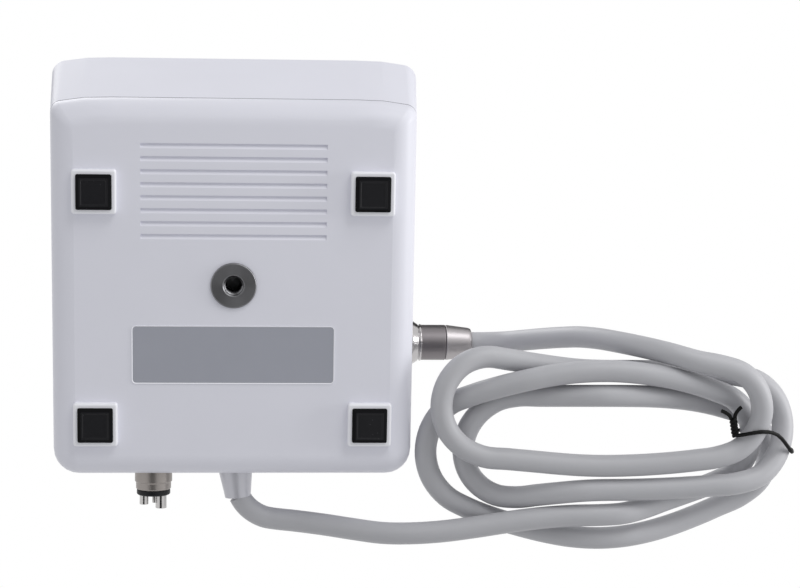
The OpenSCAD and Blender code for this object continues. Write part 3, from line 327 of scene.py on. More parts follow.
def paint_part(piece, material, test):
    """A second finish on the faces whose middle passes the test."""
    piece.data.materials.append(material)
    for face in piece.data.polygons:
        if test(face.center):
            face.material_index = len(piece.data.materials) - 1


def done(piece, body, slot, *stands_for, sharp=38):
    """Closes a piece: its shading, the nodes it stands for and the body it rides on; slot is not
    used.
    """
    take(piece)
    bpy.ops.object.shade_smooth_by_angle(angle=math.radians(sharp))
    apply_modifier(piece, "WEIGHTED_NORMAL", keep_sharp=True)
    if stands_for:
        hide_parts(*stands_for)
    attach(piece, body)
    print(piece.name, "has", len(piece.data.polygons), "faces")


# %% Helper for turned pieces
def rounded(outline, radius, steps=3):
    """The outline with each of its inner corners eased by a small curve."""
    points = [Vector(p) for p in outline]
    eased = [points[0]]
    for a, b, c in zip(points, points[1:], points[2:]):
        near = min(radius, (a - b).length / 2.2, (c - b).length / 2.2)
        p = b + (a - b).normalized() * near
        q = b + (c - b).normalized() * near
        for i in range(steps + 1):
            t = i / steps
            eased.append((1 - t) ** 2 * p + 2 * t * (1 - t) * b + t * t * q)
    return eased + [points[-1]]


def outlined(name, outline):
    """A line of edges in the XZ plane: the outline's points are (x, z) in millimetres."""
    clear()
    bpy.ops.mesh.primitive_plane_add(size=MM)
    piece = bpy.context.object
    piece.name = piece.data.name = name
    bpy.ops.object.mode_set(mode="EDIT")
    bpy.ops.mesh.select_mode(type="VERT")
    bpy.ops.mesh.select_all(action="SELECT")
    bpy.ops.mesh.merge(type="CENTER")
    here = Vector((outline[0][0], 0, outline[0][1])) * MM
    bpy.ops.transform.translate(value=here)
    for radius, height in outline[1:]:
        there = Vector((radius, 0, height)) * MM
        bpy.ops.mesh.extrude_vertices_move(TRANSFORM_OT_translate={"value": there - here})
        here = there
    bpy.ops.mesh.select_all(action="SELECT")
    return piece


def turned(name, outline, matrix, steps=72):
    """A piece of revolution: the outline's points are (radius, height) in millimetres."""
    piece = outlined(name, outline)
    bpy.ops.mesh.spin(steps=steps, angle=2 * math.pi, center=(0, 0, 0), axis=(0, 0, 1))
    close_mesh()
    return lay(piece, matrix)


# %% Helper for tubes and wires
def tube(name, line, radius, resolution, radii=None):
    """A round bar along a line of points, made as a curve with a bevel and turned into a mesh."""
    clear()
    data = bpy.data.curves.new(name, "CURVE")
    data.dimensions = "3D"
    data.bevel_depth = radius
    data.bevel_resolution = resolution
    data.use_fill_caps = True
    spline = data.splines.new("POLY")
    spline.points.add(len(line) - 1)
    for i, (point, place) in enumerate(zip(spline.points, line)):
        point.co = (*place, 1)
        point.radius = radii[i] if radii else 1
    piece = bpy.data.objects.new(name, data)
    scene.collection.objects.link(piece)
    take(piece)
    bpy.ops.object.convert(target="MESH")
    piece = bpy.context.object
    piece.name = piece.data.name = name
    edit(piece)
    close_mesh()
    clear()
    return piece


# %% [markdown]
# ## Shared effects for the finishes
# Moulded plastic, rubber and metal differ in colour and gloss, but they share some effects: slow
# changes of tone, a fine grain from the mould, straight or ring-shaped tool lines, and specks of
# dust. Each effect is a node group, built once, which every finish then uses with its own values.

# %% Node groups
def new_group(name, inputs, outputs):
    group = bpy.data.node_groups.new(name, "ShaderNodeTree")
    for label, kind, value in inputs:
        socket = group.interface.new_socket(label, in_out="INPUT", socket_type=kind)
        if value is not None:
            socket.default_value = value
    for label, kind in outputs:
        group.interface.new_socket(label, in_out="OUTPUT", socket_type=kind)
    enter = group.nodes.new("NodeGroupInput")
    leave = group.nodes.new("NodeGroupOutput")
    return group, enter, leave


def feed(tree, socket, value):
    """Links a socket to what comes out of another node, or sets a plain value on it."""
    if isinstance(value, bpy.types.NodeSocket):
        tree.links.new(value, socket)
    else:
        socket.default_value = value


def noise(tree, place, scale, detail=3.0):
    node = tree.nodes.new("ShaderNodeTexNoise")
    node.inputs["Detail"].default_value = detail
    tree.links.new(place, node.inputs["Vector"])
    feed(tree, node.inputs["Scale"], scale)
    return node.outputs["Fac"]


def math_node(tree, operation, *values, clamp=False):
    node = tree.nodes.new("ShaderNodeMath")
    node.operation = operation
    node.use_clamp = clamp
    for socket, value in zip(node.inputs, values):
        feed(tree, socket, value)
    return node.outputs[0]


VECTOR, FLOAT, COLOR = "NodeSocketVector", "NodeSocketFloat", "NodeSocketColor"

tone, enter, leave = new_group(
    "tone_change",
    [("Vector", VECTOR, None), ("Color", COLOR, (0.8, 0.8, 0.8, 1)), ("Amount", FLOAT, 0.05),
     ("Scale", FLOAT, 20), ("Roughness", FLOAT, 0.4), ("Spread", FLOAT, 0.08)],
    [("Color", COLOR), ("Roughness", FLOAT)])
fine_scale = math_node(tone, "MULTIPLY", enter.outputs["Scale"], 7.3)
mixed = math_node(tone, "ADD", noise(tone, enter.outputs["Vector"], enter.outputs["Scale"]),
                  noise(tone, enter.outputs["Vector"], fine_scale, 5.0))
swing = math_node(tone, "SUBTRACT", mixed, 1.0)
gain = math_node(tone, "MULTIPLY_ADD", swing, enter.outputs["Amount"], 1.0)
scaled = tone.nodes.new("ShaderNodeVectorMath")
scaled.operation = "SCALE"
tone.links.new(enter.outputs["Color"], scaled.inputs[0])
tone.links.new(gain, scaled.inputs["Scale"])
tone.links.new(scaled.outputs[0], leave.inputs["Color"])
rough = math_node(tone, "MULTIPLY", swing, enter.outputs["Spread"])
tone.links.new(math_node(tone, "ADD", rough, enter.outputs["Roughness"], clamp=True),
               leave.inputs["Roughness"])

grain, enter, leave = new_group(
    "mould_grain", [("Vector", VECTOR, None), ("Scale", FLOAT, 900)], [("Height", FLOAT)])
grain.links.new(noise(grain, enter.outputs["Vector"], enter.outputs["Scale"], 2.0),
                leave.inputs["Height"])

lines, enter, leave = new_group(
    "tool_lines", [("Along", FLOAT, 0), ("Pitch", FLOAT, 4000)], [("Height", FLOAT)])
strip = lines.nodes.new("ShaderNodeTexNoise")
strip.noise_dimensions = "1D"
strip.inputs["Detail"].default_value = 3.0
lines.links.new(enter.outputs["Along"], strip.inputs["W"])
lines.links.new(enter.outputs["Pitch"], strip.inputs["Scale"])
lines.links.new(strip.outputs["Fac"], leave.inputs["Height"])

specks, enter, leave = new_group(
    "dust_specks", [("Vector", VECTOR, None), ("Scale", FLOAT, 400), ("Size", FLOAT, 0.06)],
    [("Mask", FLOAT)])
cells = specks.nodes.new("ShaderNodeTexVoronoi")
specks.links.new(enter.outputs["Vector"], cells.inputs["Vector"])
specks.links.new(enter.outputs["Scale"], cells.inputs["Scale"])
rare = noise(specks, enter.outputs["Vector"], 60, 1.0)
near = math_node(specks, "LESS_THAN", cells.outputs["Distance"], enter.outputs["Size"])
often = math_node(specks, "GREATER_THAN", rare, 0.56)
specks.links.new(math_node(specks, "MULTIPLY", near, often), leave.inputs["Mask"])
print("node groups:", len(bpy.data.node_groups))

# %% [markdown]
# ## The finishes
# One function sets up what all finishes share: the tone group drives colour and roughness, and a
# grain drives the bump. What is the same all over a surface, such as its metal share, its coat or
# its sheen, is set on the shader itself. A few finishes then get lines or dust of their own.

# %% Function for a finish
def place_group(tree, group, **values):
    node = tree.nodes.new("ShaderNodeGroup")
    node.node_tree = group
    for label, value in values.items():
        feed(tree, node.inputs[label], value)
    return node


def finish(name, color, roughness, metallic=0.0, change=0.05, scale=18, spread=0.08,
           grain_scale=1400, bump=0.05, depth=0.0001, **sockets):
    material = bpy.data.materials.new(name)
    material.use_nodes = True
    material.diffuse_color = (*color, 1)
    tree = material.node_tree
    shader = tree.nodes["Principled BSDF"]
    shader.inputs["Metallic"].default_value = metallic
    for label, value in sockets.items():
        shader.inputs[label.replace("_", " ")].default_value = value
    place = tree.nodes.new("ShaderNodeTexCoord").outputs["Object"]
    tones = place_group(tree, tone, Vector=place, Color=(*color, 1), Amount=change, Scale=scale,
                        Roughness=roughness, Spread=spread)
    tree.links.new(tones.outputs["Color"], shader.inputs["Base Color"])
    tree.links.new(tones.outputs["Roughness"], shader.inputs["Roughness"])
    pits = place_group(tree, grain, Vector=place, Scale=grain_scale)
    relief = tree.nodes.new("ShaderNodeBump")
    relief.inputs["Strength"].default_value = bump
    relief.inputs["Distance"].default_value = depth
    tree.links.new(pits.outputs["Height"], relief.inputs["Height"])
    tree.links.new(relief.outputs["Normal"], shader.inputs["Normal"])
    return material


def lined(material, along, pitch, strength):
    """Adds tool lines across X, Y or Z, or in rings about the Z axis, to a finish's relief."""
    tree = material.node_tree
    place = tree.nodes["Texture Coordinate"].outputs["Object"]
    parts = tree.nodes.new("ShaderNodeSeparateXYZ")
    tree.links.new(place, parts.inputs[0])
    if along == "RINGS":
        flat = tree.nodes.new("ShaderNodeCombineXYZ")
        tree.links.new(parts.outputs["X"], flat.inputs["X"])
        tree.links.new(parts.outputs["Y"], flat.inputs["Y"])
        reach = tree.nodes.new("ShaderNodeVectorMath")
        reach.operation = "LENGTH"
        tree.links.new(flat.outputs[0], reach.inputs[0])
        distance = reach.outputs["Value"]
    else:
        distance = parts.outputs[along]
    marks = place_group(tree, lines, Along=distance, Pitch=pitch)
    height = tree.nodes["Bump"].inputs["Height"]
    grain_height = height.links[0].from_socket
    tree.links.new(math_node(tree, "MULTIPLY_ADD", marks.outputs["Height"], strength, grain_height),
                   height)
    return material


def dusted(material, tint, scale, size):
    """Strews small pale specks over a finish."""
    tree = material.node_tree
    base = tree.nodes["Principled BSDF"].inputs["Base Color"]
    place = tree.nodes["Texture Coordinate"].outputs["Object"]
    spots = place_group(tree, specks, Vector=place, Scale=scale, Size=size)
    blend = tree.nodes.new("ShaderNodeMix")
    blend.data_type = "RGBA"
    tree.links.new(spots.outputs["Mask"], blend.inputs["Factor"])
    tree.links.new(base.links[0].from_socket, blend.inputs["A"])
    blend.inputs["B"].default_value = (*tint, 1)
    tree.links.new(blend.outputs["Result"], base)
    return material


# %% Plastics, rubbers and the hose
SHELL_WHITE = finish("shell_white", (0.80, 0.80, 0.868), 0.42, change=0.02, scale=9, bump=0.05,
                     grain_scale=2600, Specular_IOR_Level=0.4)
# A lighter copy of the shell white: a painted highlight on the foot frames and the plate's tray
# rim.
PAINTED_HIGHLIGHT_WHITE = finish("painted_highlight_white", (0.93, 0.93, 0.97), 0.36, change=0.02, scale=9, bump=0.04,
                     grain_scale=2600, Specular_IOR_Level=0.45)
# Painted shade for the chamfer along the seam.
SEAM_PAINTED_SHADE = finish("seam_painted_shade", (0.26, 0.26, 0.29), 0.7, change=0.1, bump=0.05,
                    Specular_IOR_Level=0.2)
CRADLE_GREY = finish("cradle_grey", (0.42, 0.42, 0.45), 0.62, change=0.06, bump=0.12)
RUBBER_BLACK = dusted(finish("rubber_black", (0.0085, 0.0085, 0.0105), 0.45, change=0.35, scale=60,
                             bump=0.2, grain_scale=2200, Specular_IOR_Level=0.22),
                      (0.06, 0.06, 0.065), 620, 0.1)
# Painted shade for the slopes of the rubber pads.
RUBBER_PAINTED_SHADE = finish("rubber_painted_shade", (0.004, 0.004, 0.005), 0.6, change=0.35, scale=60, bump=0.2,
                      grain_scale=2200, Specular_IOR_Level=0.08)
PLATE_GREY = lined(finish("plate_grey", (0.38, 0.39, 0.44), 0.38, change=0.03, bump=0.05),
                   "Y", 5200, 0.8)
FASCIA_FILM = finish("fascia_film", (0.22, 0.25, 0.31), 0.45, change=0.05, bump=0.08)
GLAND_GREY = finish("gland_grey", (0.52, 0.52, 0.56), 0.34, 0.45, change=0.04, bump=0.05)
BLACK_PLASTIC = finish("black_plastic", (0.02, 0.02, 0.021), 0.4, change=0.2, bump=0.15)
KEY_GREY = finish("key_grey", (0.62, 0.63, 0.66), 0.5, change=0.03, bump=0.1)
MARK_DARK = finish("mark_dark", (0.05, 0.055, 0.07), 0.5, change=0.1)
MARK_PALE = finish("mark_pale", (0.7, 0.71, 0.74), 0.5, change=0.04)
HOSE_GREY = finish("hose_grey", (0.475, 0.475, 0.495), 0.48, change=0.05, scale=26, bump=0.06,
                   grain_scale=1800, Sheen_Weight=0.08)
TIE_BLACK = finish("tie_black", (0.003, 0.003, 0.003), 0.5, change=0.2, bump=0.1,
                   Specular_IOR_Level=0.15)
TUBING = finish("tubing", (0.42, 0.56, 0.7), 0.25, change=0.08)
BOARD_GREEN = finish("board_green", (0.03, 0.19, 0.08), 0.35, change=0.25, scale=160)
LCD_GREEN = finish("lcd_green", (0.36, 0.43, 0.33), 0.3, change=0.05)
WINDOW = finish("window", (0.42, 0.46, 0.48), 0.08, change=0.02, spread=0.02, bump=0.0,
                Transmission_Weight=1.0, IOR=1.46)
print("plastics and rubbers:", len(bpy.data.materials))

# %% Metals
STEEL = finish("steel", (0.58, 0.58, 0.6), 0.32, 1.0, change=0.08, bump=0.05)
HUB_STEEL = lined(finish("hub_steel", (0.21, 0.21, 0.22), 0.36, 1.0, change=0.12, bump=0.06,
                         Anisotropic=0.85), "RINGS", 5200, 0.7)
around_axis = HUB_STEEL.node_tree.nodes.new("ShaderNodeTangent")
around_axis.direction_type = "RADIAL"
around_axis.axis = "Z"
HUB_STEEL.node_tree.links.new(around_axis.outputs[0],
                              HUB_STEEL.node_tree.nodes["Principled BSDF"].inputs["Tangent"])
INLET_METAL = finish("inlet_metal", (0.29, 0.268, 0.255), 0.4, 1.0, change=0.1, bump=0.03)
PIPE_STEEL = finish("pipe_steel", (0.5, 0.49, 0.485), 0.16, 1.0, change=0.06, bump=0.02)
MOTOR_STEEL = finish("motor_steel", (0.5, 0.485, 0.49), 0.2, 1.0, change=0.06, bump=0.02)
TAIL_DARK = lined(finish("tail_dark", (0.215, 0.2, 0.207), 0.42, 1.0, change=0.08, bump=0.05),
                  "X", 4200, 0.8)
NUT_STEEL = lined(finish("nut_steel", (0.40, 0.38, 0.387), 0.42, 1.0, change=0.06, bump=0.03),
                  "X", 6000, 0.6)
ALUMINIUM = finish("aluminium", (0.65, 0.65, 0.67), 0.35, 1.0, change=0.08)
SINTERED = finish("sintered", (0.6, 0.5, 0.3), 0.6, 1.0, change=0.3, scale=300, bump=0.5)
COPPER = finish("copper", (0.6, 0.26, 0.1), 0.35, 1.0, change=0.2, scale=200)
print("finishes:", len(bpy.data.materials))

# %% [markdown]
# ## Pieces that keep their solid
# Most of the insides, and a few small pieces outside, already have the right shape. Their solids
# stay as they are and only get a finish, by putting it in the solid's material slot.

# %% Finishes on the solids that stay
for material, names in (
        (STEEL, "housing_screws hub_nut keypad_screws board_screws inlet_nut gland_nut rotor_shaft"
                " drive_dog front_bearing rear_bearing"),
        (BOARD_GREEN, "keypad_board main_board"), (ALUMINIUM, "heat_sink rear_flange"),
        (TUBING, "drive_air_tube water_tube chip_air_tube"), (LCD_GREEN, "display_module"),
        (BLACK_PLASTIC, "pressure_sensor"), (SINTERED, "exhaust_silencer"), (COPPER, "stator"),
        (WINDOW, "display_window"), (RUBBER_BLACK, "nose_seals")):
    for name in names.split():
        paint(nodes[name], material)
    print(material.name, "on", names)

# %% [markdown]
# ## The hose
# A silicone hose is one even round tube. It is swept along the centre line, a hair fuller than its
# nominal size so that strands side by side touch as soft ones do.

# %% Hose
hose = tube("hose", hose_line, HOSE_SKIN * MM, 8)
take(hose)
bpy.ops.object.shade_smooth_by_angle(angle=math.radians(60))
paint(hose, HOSE_GREY)
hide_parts("hose_lead", "hose_coil", "hose_riser")
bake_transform(hose)
print("hose has", len(hose.data.polygons), "faces")

# %% [markdown]
# ## The two shells
# The housing's shells already have the right shape, with round edges, posts and moulded grooves.
# What a plain solid lacks is the soft break on every edge, which catches the light on a real
# moulding. So a copy of each is merged, its flat faces are joined again, and a narrow bevel goes
# round its sharp edges. The frames of the four feet get a wider one round their outer rims, and
# they are painted a lighter white than the shell, as a painted highlight. The cover's lower edge
# gets a small chamfer, painted dark as painted shade, that draws the seam.

# %% A copy of a solid with soft edges
SOLID_MERGE = 4e-6
FLAT_ANGLE = 0.4


def softened(node, name, width, angle=50, rim=None, rim_width=0.8, rim_steps=4):
    """A merged copy of a node with bevelled edges, and a wider bevel where rim says so."""
    piece = bpy.data.objects.new(name, nodes[node].data.copy())
    scene.collection.objects.link(piece)
    edit(piece, "VERT")
    bpy.ops.mesh.select_all(action="SELECT")
    bpy.ops.mesh.customdata_custom_splitnormals_clear()
    bpy.ops.mesh.remove_doubles(threshold=SOLID_MERGE)
    bpy.ops.mesh.dissolve_limited(angle_limit=math.radians(FLAT_ANGLE))
    if rim:
        bpy.ops.mesh.select_mode(type="EDGE")
        pick_edges(piece, rim)
        bpy.ops.mesh.bevel(offset=rim_width * MM, segments=rim_steps, loop_slide=False)
    clear()
    soften_edges(piece, width, 2, angle)
    return piece


# %% Underside
FACE_Z = 5
FEET = [(x, y) for y in (-39.2, 59.2) for x in (-57.5, 57.5)]
FRAME, FRAME_Z = 18.4, 1.6


def off_foot(p):
    """How far a place is from the middle of the nearest foot, along X or Y, in millimetres."""
    return min(max(abs(p.x / MM - x), abs(p.y / MM - y)) for x, y in FEET)


def on_frame_rim(a, b):
    """True for the outer lower edges of the four foot frames."""
    return all(abs(p.z / MM - FRAME_Z) < 0.02 and FRAME / 2 - 0.8 < off_foot(p) < FRAME / 2 + 0.2
               for p in (a, b))


def on_frame(middle):
    """True for the faces of the four foot frames that stand out of the underside."""
    return middle.z < (FACE_Z - 0.1) * MM and off_foot(middle) < FRAME / 2 + 0.1


underside = softened("bottom_shell", "underside_shell", 0.12, rim=on_frame_rim)
paint(underside, SHELL_WHITE)
# The foot frames are painted a lighter white than the shell: a painted highlight.
paint_part(underside, PAINTED_HIGHLIGHT_WHITE, on_frame)
done(underside, "housing", "shell_white", "bottom_shell", sharp=35)

# %% Cover and motor rest
SEAM_Z, CHAMFER = 15.4, 0.35
SEAM_SIDE, SEAM_REAR, SEAM_FRONT = 75, 82, -74.9
REAR_X, REAR_Y, REAR_R = 65, 72, 10
FRONT_X, FRONT_Y, FRONT_R = 71, -70.4, 4


def at_outline(p):
    """True for a place within a millimetre of the box's outline at the seam."""
    x, y = abs(p.x / MM), p.y / MM
    if x > REAR_X and y > REAR_Y:
        return math.hypot(x - REAR_X, y - REAR_Y) > REAR_R
    if x > FRONT_X and y < FRONT_Y:
        return math.hypot(x - FRONT_X, y - FRONT_Y) > FRONT_R
    return x > SEAM_SIDE or y > SEAM_REAR or y < SEAM_FRONT


def on_seam_rim(a, b):
    """True for the cover's outer edges along the seam."""
    return all(abs(p.z / MM - SEAM_Z) < 0.02 and at_outline(p) for p in (a, b))


cover = softened("top_cover", "cover_shell", 0.12, rim=on_seam_rim, rim_width=CHAMFER, rim_steps=1)
paint(cover, SHELL_WHITE)
# The chamfer along the seam is painted dark: painted shade.
paint_part(cover, SEAM_PAINTED_SHADE, lambda middle: at_outline(middle)
           and 0.02 < middle.z / MM - SEAM_Z < CHAMFER)
done(cover, "housing", "shell_white", "top_cover", sharp=35)
rest = softened("motor_cradle", "motor_rest", 0.25)
done(paint(rest, CRADLE_GREY), "housing", "cradle_grey", "motor_cradle", sharp=35)

# %% [markdown]
# ## Rubber pads
# Each foot is a white frame with a black rubber pad pressed into it. The pad slopes up from its
# rim to a ridge that stands on the table, and it is hollow inside the ridge. One pad starts as a
# cube; insets of its lower face make the slope, the ridge and the hollow, and it is copied to
# the four feet. The slopes get a duller, darker finish; the darker colour is painted shade.

# %% Rubber pads
PAD = 14.6
PAD_TOP = 3.0
PAD_RIM = 0.7
PAD_SLOPE = 1.55
PAD_RIDGE = 0.5
HOLLOW_SLOPE, HOLLOW = 0.3, 0.28
PAD_CORNER = 0.6
pad = start("pad", bpy.ops.mesh.primitive_cube_add, size=MM,
            location=(0, 0, (PAD_TOP + PAD_RIM) / 2 * MM), scale=(PAD, PAD, PAD_TOP - PAD_RIM))
edit(pad)
pick_faces(pad, lambda middle, normal: normal.z < -0.9)
for width, lift in ((PAD_SLOPE, -PAD_RIM), (PAD_RIDGE, 0), (HOLLOW_SLOPE, HOLLOW)):
    bpy.ops.mesh.inset(thickness=width * MM, depth=0)
    bpy.ops.transform.translate(value=(0, 0, lift * MM))
bpy.ops.mesh.select_mode(type="EDGE")
pick_edges(pad, lambda a, b: abs(a.x - b.x) < 1e-6 and abs(a.y - b.y) < 1e-6)
bpy.ops.mesh.bevel(offset=PAD_CORNER * MM, segments=4)
soften_edges(pad, 0.16, 3, 20)
pads = [copy_of(pad, f"pad_{i}", Matrix.Translation((x * MM, y * MM, 0)))
        for i, (x, y) in enumerate(FEET)]
bpy.data.objects.remove(pad)
pads = join(pads, "rubber_pads")
paint(pads, RUBBER_BLACK)
# The slopes of the pads are painted darker: painted shade.
paint_part(pads, RUBBER_PAINTED_SHADE, lambda middle: off_foot(middle) > PAD / 2 - PAD_SLOPE + 0.2)
done(pads, "housing", "rubber_black", "rubber_feet", sharp=30)

# %% [markdown]
# ## The stand hub
# A turned steel hub in the middle takes the thread of a stand. Its flange shows the fine rings
# of the lathe, which spread the light into a cross of bright wedges. The hub is a spun outline,
# the thread is a small wedge wound up the bore by a Screw modifier, and a disc ends the bore.

# %% Stand hub
HUB_LOW = 3.8
HUB_BORE = 3.95
PITCH = 1.25
hub_outline = rounded([(HUB_BORE, 6), (HUB_BORE, 0.55), (4.5, 0), (9.25, 0), (9.6, 0.35),
                       (9.6, 1.2), (6.5, 1.2), (6.5, 12), (HUB_BORE, 12)], 0.12)
hub_outline.append(Vector((HUB_BORE, 6)))
hub = turned("hub", hub_outline, Matrix.Translation((0, 0, HUB_LOW * MM)), 96)
ridge = outlined("ridge", [(4.05, 0), (3.42, 0.53), (3.42, 0.67), (4.05, 1.2), (4.05, 0)])
bpy.ops.mesh.remove_doubles(threshold=MERGE)
apply_modifier(ridge, "SCREW", angle=2 * math.pi, screw_offset=PITCH * MM, iterations=8, steps=48,
               render_steps=48, axis="Z", use_normal_calculate=True)
edit(ridge, "EDGE")
bpy.ops.mesh.select_all(action="SELECT")
bpy.ops.mesh.remove_doubles(threshold=MERGE)
bpy.ops.mesh.select_all(action="DESELECT")
bpy.ops.mesh.select_non_manifold()
bpy.ops.mesh.fill()
bpy.ops.mesh.select_all(action="SELECT")
bpy.ops.mesh.normals_make_consistent(inside=False)
lay(ridge, Matrix.Translation((0, 0, (HUB_LOW + 0.5) * MM)))
bore_end = turned("bore_end", rounded([(0, 10.4), (4.1, 10.4), (4.1, 11.4), (0, 11.4)], 0.1),
                  Matrix.Translation((0, 0, HUB_LOW * MM)), 48)
hub = join([hub, ridge, bore_end], "threaded_hub")
done(paint(hub, HUB_STEEL), "housing", "hub_steel", "stand_hub", sharp=32)

# %% [markdown]
# ## The rating plate
# A thin satin plate lies in a shallow white tray on the underside. A cube of its size gets round
# corners from a bevel of its four upright edges. Two insets of its lower face leave a hair-thin
# rim and a slope down to the plate, which catches the light, and both are painted a lighter white
# than the shell as a painted highlight. The plate is left bare.

# %% Rating plate
TRAY_W, TRAY_L, PLATE_Y = 84.8, 24.8, 29.6
TRAY_Z, TRAY_T, TRAY_CORNER = 4.85, 0.3, 1.8
TRAY_RIM, TRAY_SLOPE, PLATE_SUNK = 0.1, 0.3, 0.22
plate = start("rating_plate", bpy.ops.mesh.primitive_cube_add, size=MM,
              location=(0, PLATE_Y * MM, TRAY_Z * MM), scale=(TRAY_W, TRAY_L, TRAY_T))
edit(plate, "EDGE")
pick_edges(plate, lambda a, b: abs(a.z - b.z) > TRAY_T / 2 * MM)
bpy.ops.mesh.bevel(offset=TRAY_CORNER * MM, segments=8)
bpy.ops.mesh.select_mode(type="FACE")
pick_faces(plate, lambda middle, normal: normal.z < -0.9)
bpy.ops.mesh.inset(thickness=TRAY_RIM * MM, depth=0)
bpy.ops.mesh.inset(thickness=TRAY_SLOPE * MM, depth=0)
bpy.ops.transform.translate(value=(0, 0, PLATE_SUNK * MM))
clear()
paint(plate, PLATE_GREY)
# The tray's rim and slope are painted a lighter white than the shell: a painted highlight.
paint_part(plate, PAINTED_HIGHLIGHT_WHITE, lambda middle: abs(middle.x) > (TRAY_W / 2 - 1) * MM
           or abs(middle.y - PLATE_Y * MM) > (TRAY_L / 2 - 1) * MM)
done(plate, "housing", "type_plate", "type_plate", sharp=20)

# %% [markdown]
# ## Supply inlet
# Compressed air and water come in through a standard four-hole coupling on the rear wall: a
# turned collar, a rubber seal and four tubes of three sizes. All are pieces of revolution, drawn
# as half outlines with eased corners and spun in the frame of the leaning wall.

# %% Supply inlet
WALL_DOWN = Vector((0, -math.sin(DRAFT), -math.cos(DRAFT)))
WALL_Y, WALL_Z = 83, 15


def rear_frame(x, z):
    """The frame of a place on the rear wall: X to the right, Y down, Z out of the wall."""
    place = Vector((x, WALL_Y + (z - WALL_Z) * math.tan(DRAFT), z)) * MM
    axes = Matrix((Vector((1, 0, 0)), WALL_DOWN, WALL_OUT)).transposed().to_4x4()
    return Matrix.Translation(place) @ axes


INLET_X, INLET_Z = -34.2, 24
PIPE_ROOT = -13
INLET = rear_frame(INLET_X, INLET_Z)
collar = turned("inlet_collar", rounded(
    [(0, -9), (6.2, -9), (6.2, 0), (8, 0), (8, 5.25), (7.55, 5.6), (7.5, 8.35), (7.05, 8.8),
     (0, 8.8)], 0.22), INLET)
done(paint(collar, INLET_METAL), "housing", "inlet_metal", "inlet_body")
seal = turned("inlet_seal", rounded([(0, 8.8), (7.1, 8.8), (7.2, 9.2), (7.2, 10.7), (6.6, 11.2),
                                     (5.2, 11.2), (4.9, 11.05), (0, 11.05)], 0.3), INLET)
done(paint(seal, RUBBER_BLACK), "housing", "rubber_black", "inlet_gasket")


def pipe(x, y, radius, tip, wall=0.45):
    """One tube of the coupling, beside the inlet's axis by x and y."""
    outline = rounded([(radius - wall, PIPE_ROOT), (radius, PIPE_ROOT), (radius, tip),
                       (radius - wall, tip), (radius - wall, PIPE_ROOT)], 0.14)
    return turned("pipe", outline, INLET @ Matrix.Translation((x * MM, y * MM, 0)), 32)


pipes = join([pipe(3.3, 1.6, 2.4, 16.8), pipe(-4, 1.6, 1.9, 15.2),
              pipe(0.2, -3.8, 0.9, 15.6, 0.25), pipe(-3.6, -3.4, 0.9, 15.6, 0.25)], "inlet_pipes")
done(paint(pipes, PIPE_STEEL), "housing", "inlet_metal", "inlet_tubes")

# %% [markdown]
# ## The hose boot
# A tapered sleeve guides the hose out of the wall. It is a tube along a short line with a radius
# for each point. Its end face is turned a little, so that the rim slants as the hose bends away,
# then inset and pushed in, which leaves the dark gap round the hose.

# %% Hose boot
BOOT_TILT = math.radians(5.5)
BOOT_SLANT = 8
BOOT_R = 7.4
BOOT_LIP, BOOT_GAP_WALL, BOOT_GAP = 0.32, 0.03, 1.6
BOOT_AIM = math.cos(BOOT_TILT) * WALL_OUT + math.sin(BOOT_TILT) * Vector((1, 0, 0))
boot_line = [BOOT_ROOT + t * BOOT_AIM for t in (-0.8, 0, 3, 6, 9, 11, 12.2)]
boot_radii = [r / BOOT_R for r in (BOOT_R, BOOT_R, 6.9, 6.45, 6.0, 5.72, 5.6)]
boot = tube("hose_boot", [p * MM for p in boot_line], BOOT_R * MM, 12, boot_radii)
boot_end = boot_line[-1] * MM
edit(boot)
pick_faces(boot, lambda middle, normal: (middle - boot_end).length < 0.5 * MM)
bpy.ops.transform.rotate(value=math.radians(-BOOT_SLANT), orient_axis="Z",
                         center_override=boot_end)
bpy.ops.mesh.inset(thickness=BOOT_LIP * MM, depth=0)
bpy.ops.mesh.inset(thickness=BOOT_GAP_WALL * MM, depth=-BOOT_GAP * MM)
soften_edges(boot, 0.14, 3, 50)
done(paint(boot, GLAND_GREY), "housing", "gland_grey", "hose_gland")

# %% [markdown]
# ## The motor
# The motor is a polished steel barrel with a spigot in front, where a hand-piece slides on. Its
# tail is a cone, a bright ring and a darker brushed stretch, and a tapered nut holds the hose.
# All of these are turned on a lathe; the barrel, the tail and the nut are spun outlines along the
# motor's axis, and the spigot is a copy of its solid with soft edges.

# %% Motor barrel
MOTOR_Y, MOTOR_Z = 38.4, 75
SLEEVE_X, TAIL_X, NUT_X = 22, 80, 95.7
GRIP_RINGS = (7, 9.5, 12, 46, 48.5)


def motor_frame(x):
    """The frame of a place on the motor's axis: Z along it, towards the tail."""
    place = Vector((x, MOTOR_Y, MOTOR_Z)) * MM
    return Matrix.Translation(place) @ Matrix.Rotation(math.pi / 2, 4, "Y")


grip = []
for z in GRIP_RINGS:
    grip += [(10.5, z - 0.45), (10.22, z - 0.25), (10.22, z + 0.25), (10.5, z + 0.45)]
barrel = turned("motor_barrel", rounded([(9.3, 0), (9.75, 0), (10.5, 0.75)] + grip
                                        + [(10.5, 57.7), (10.2, 58), (9.3, 58), (9.3, 0)], 0.2),
                motor_frame(SLEEVE_X), 96)
done(paint(barrel, MOTOR_STEEL), "motor", "motor_steel", "motor_sleeve")
spigot = softened("motor_nose", "motor_spigot", 0.18)
done(paint(spigot, MOTOR_STEEL), "motor", "motor_steel", "motor_nose")

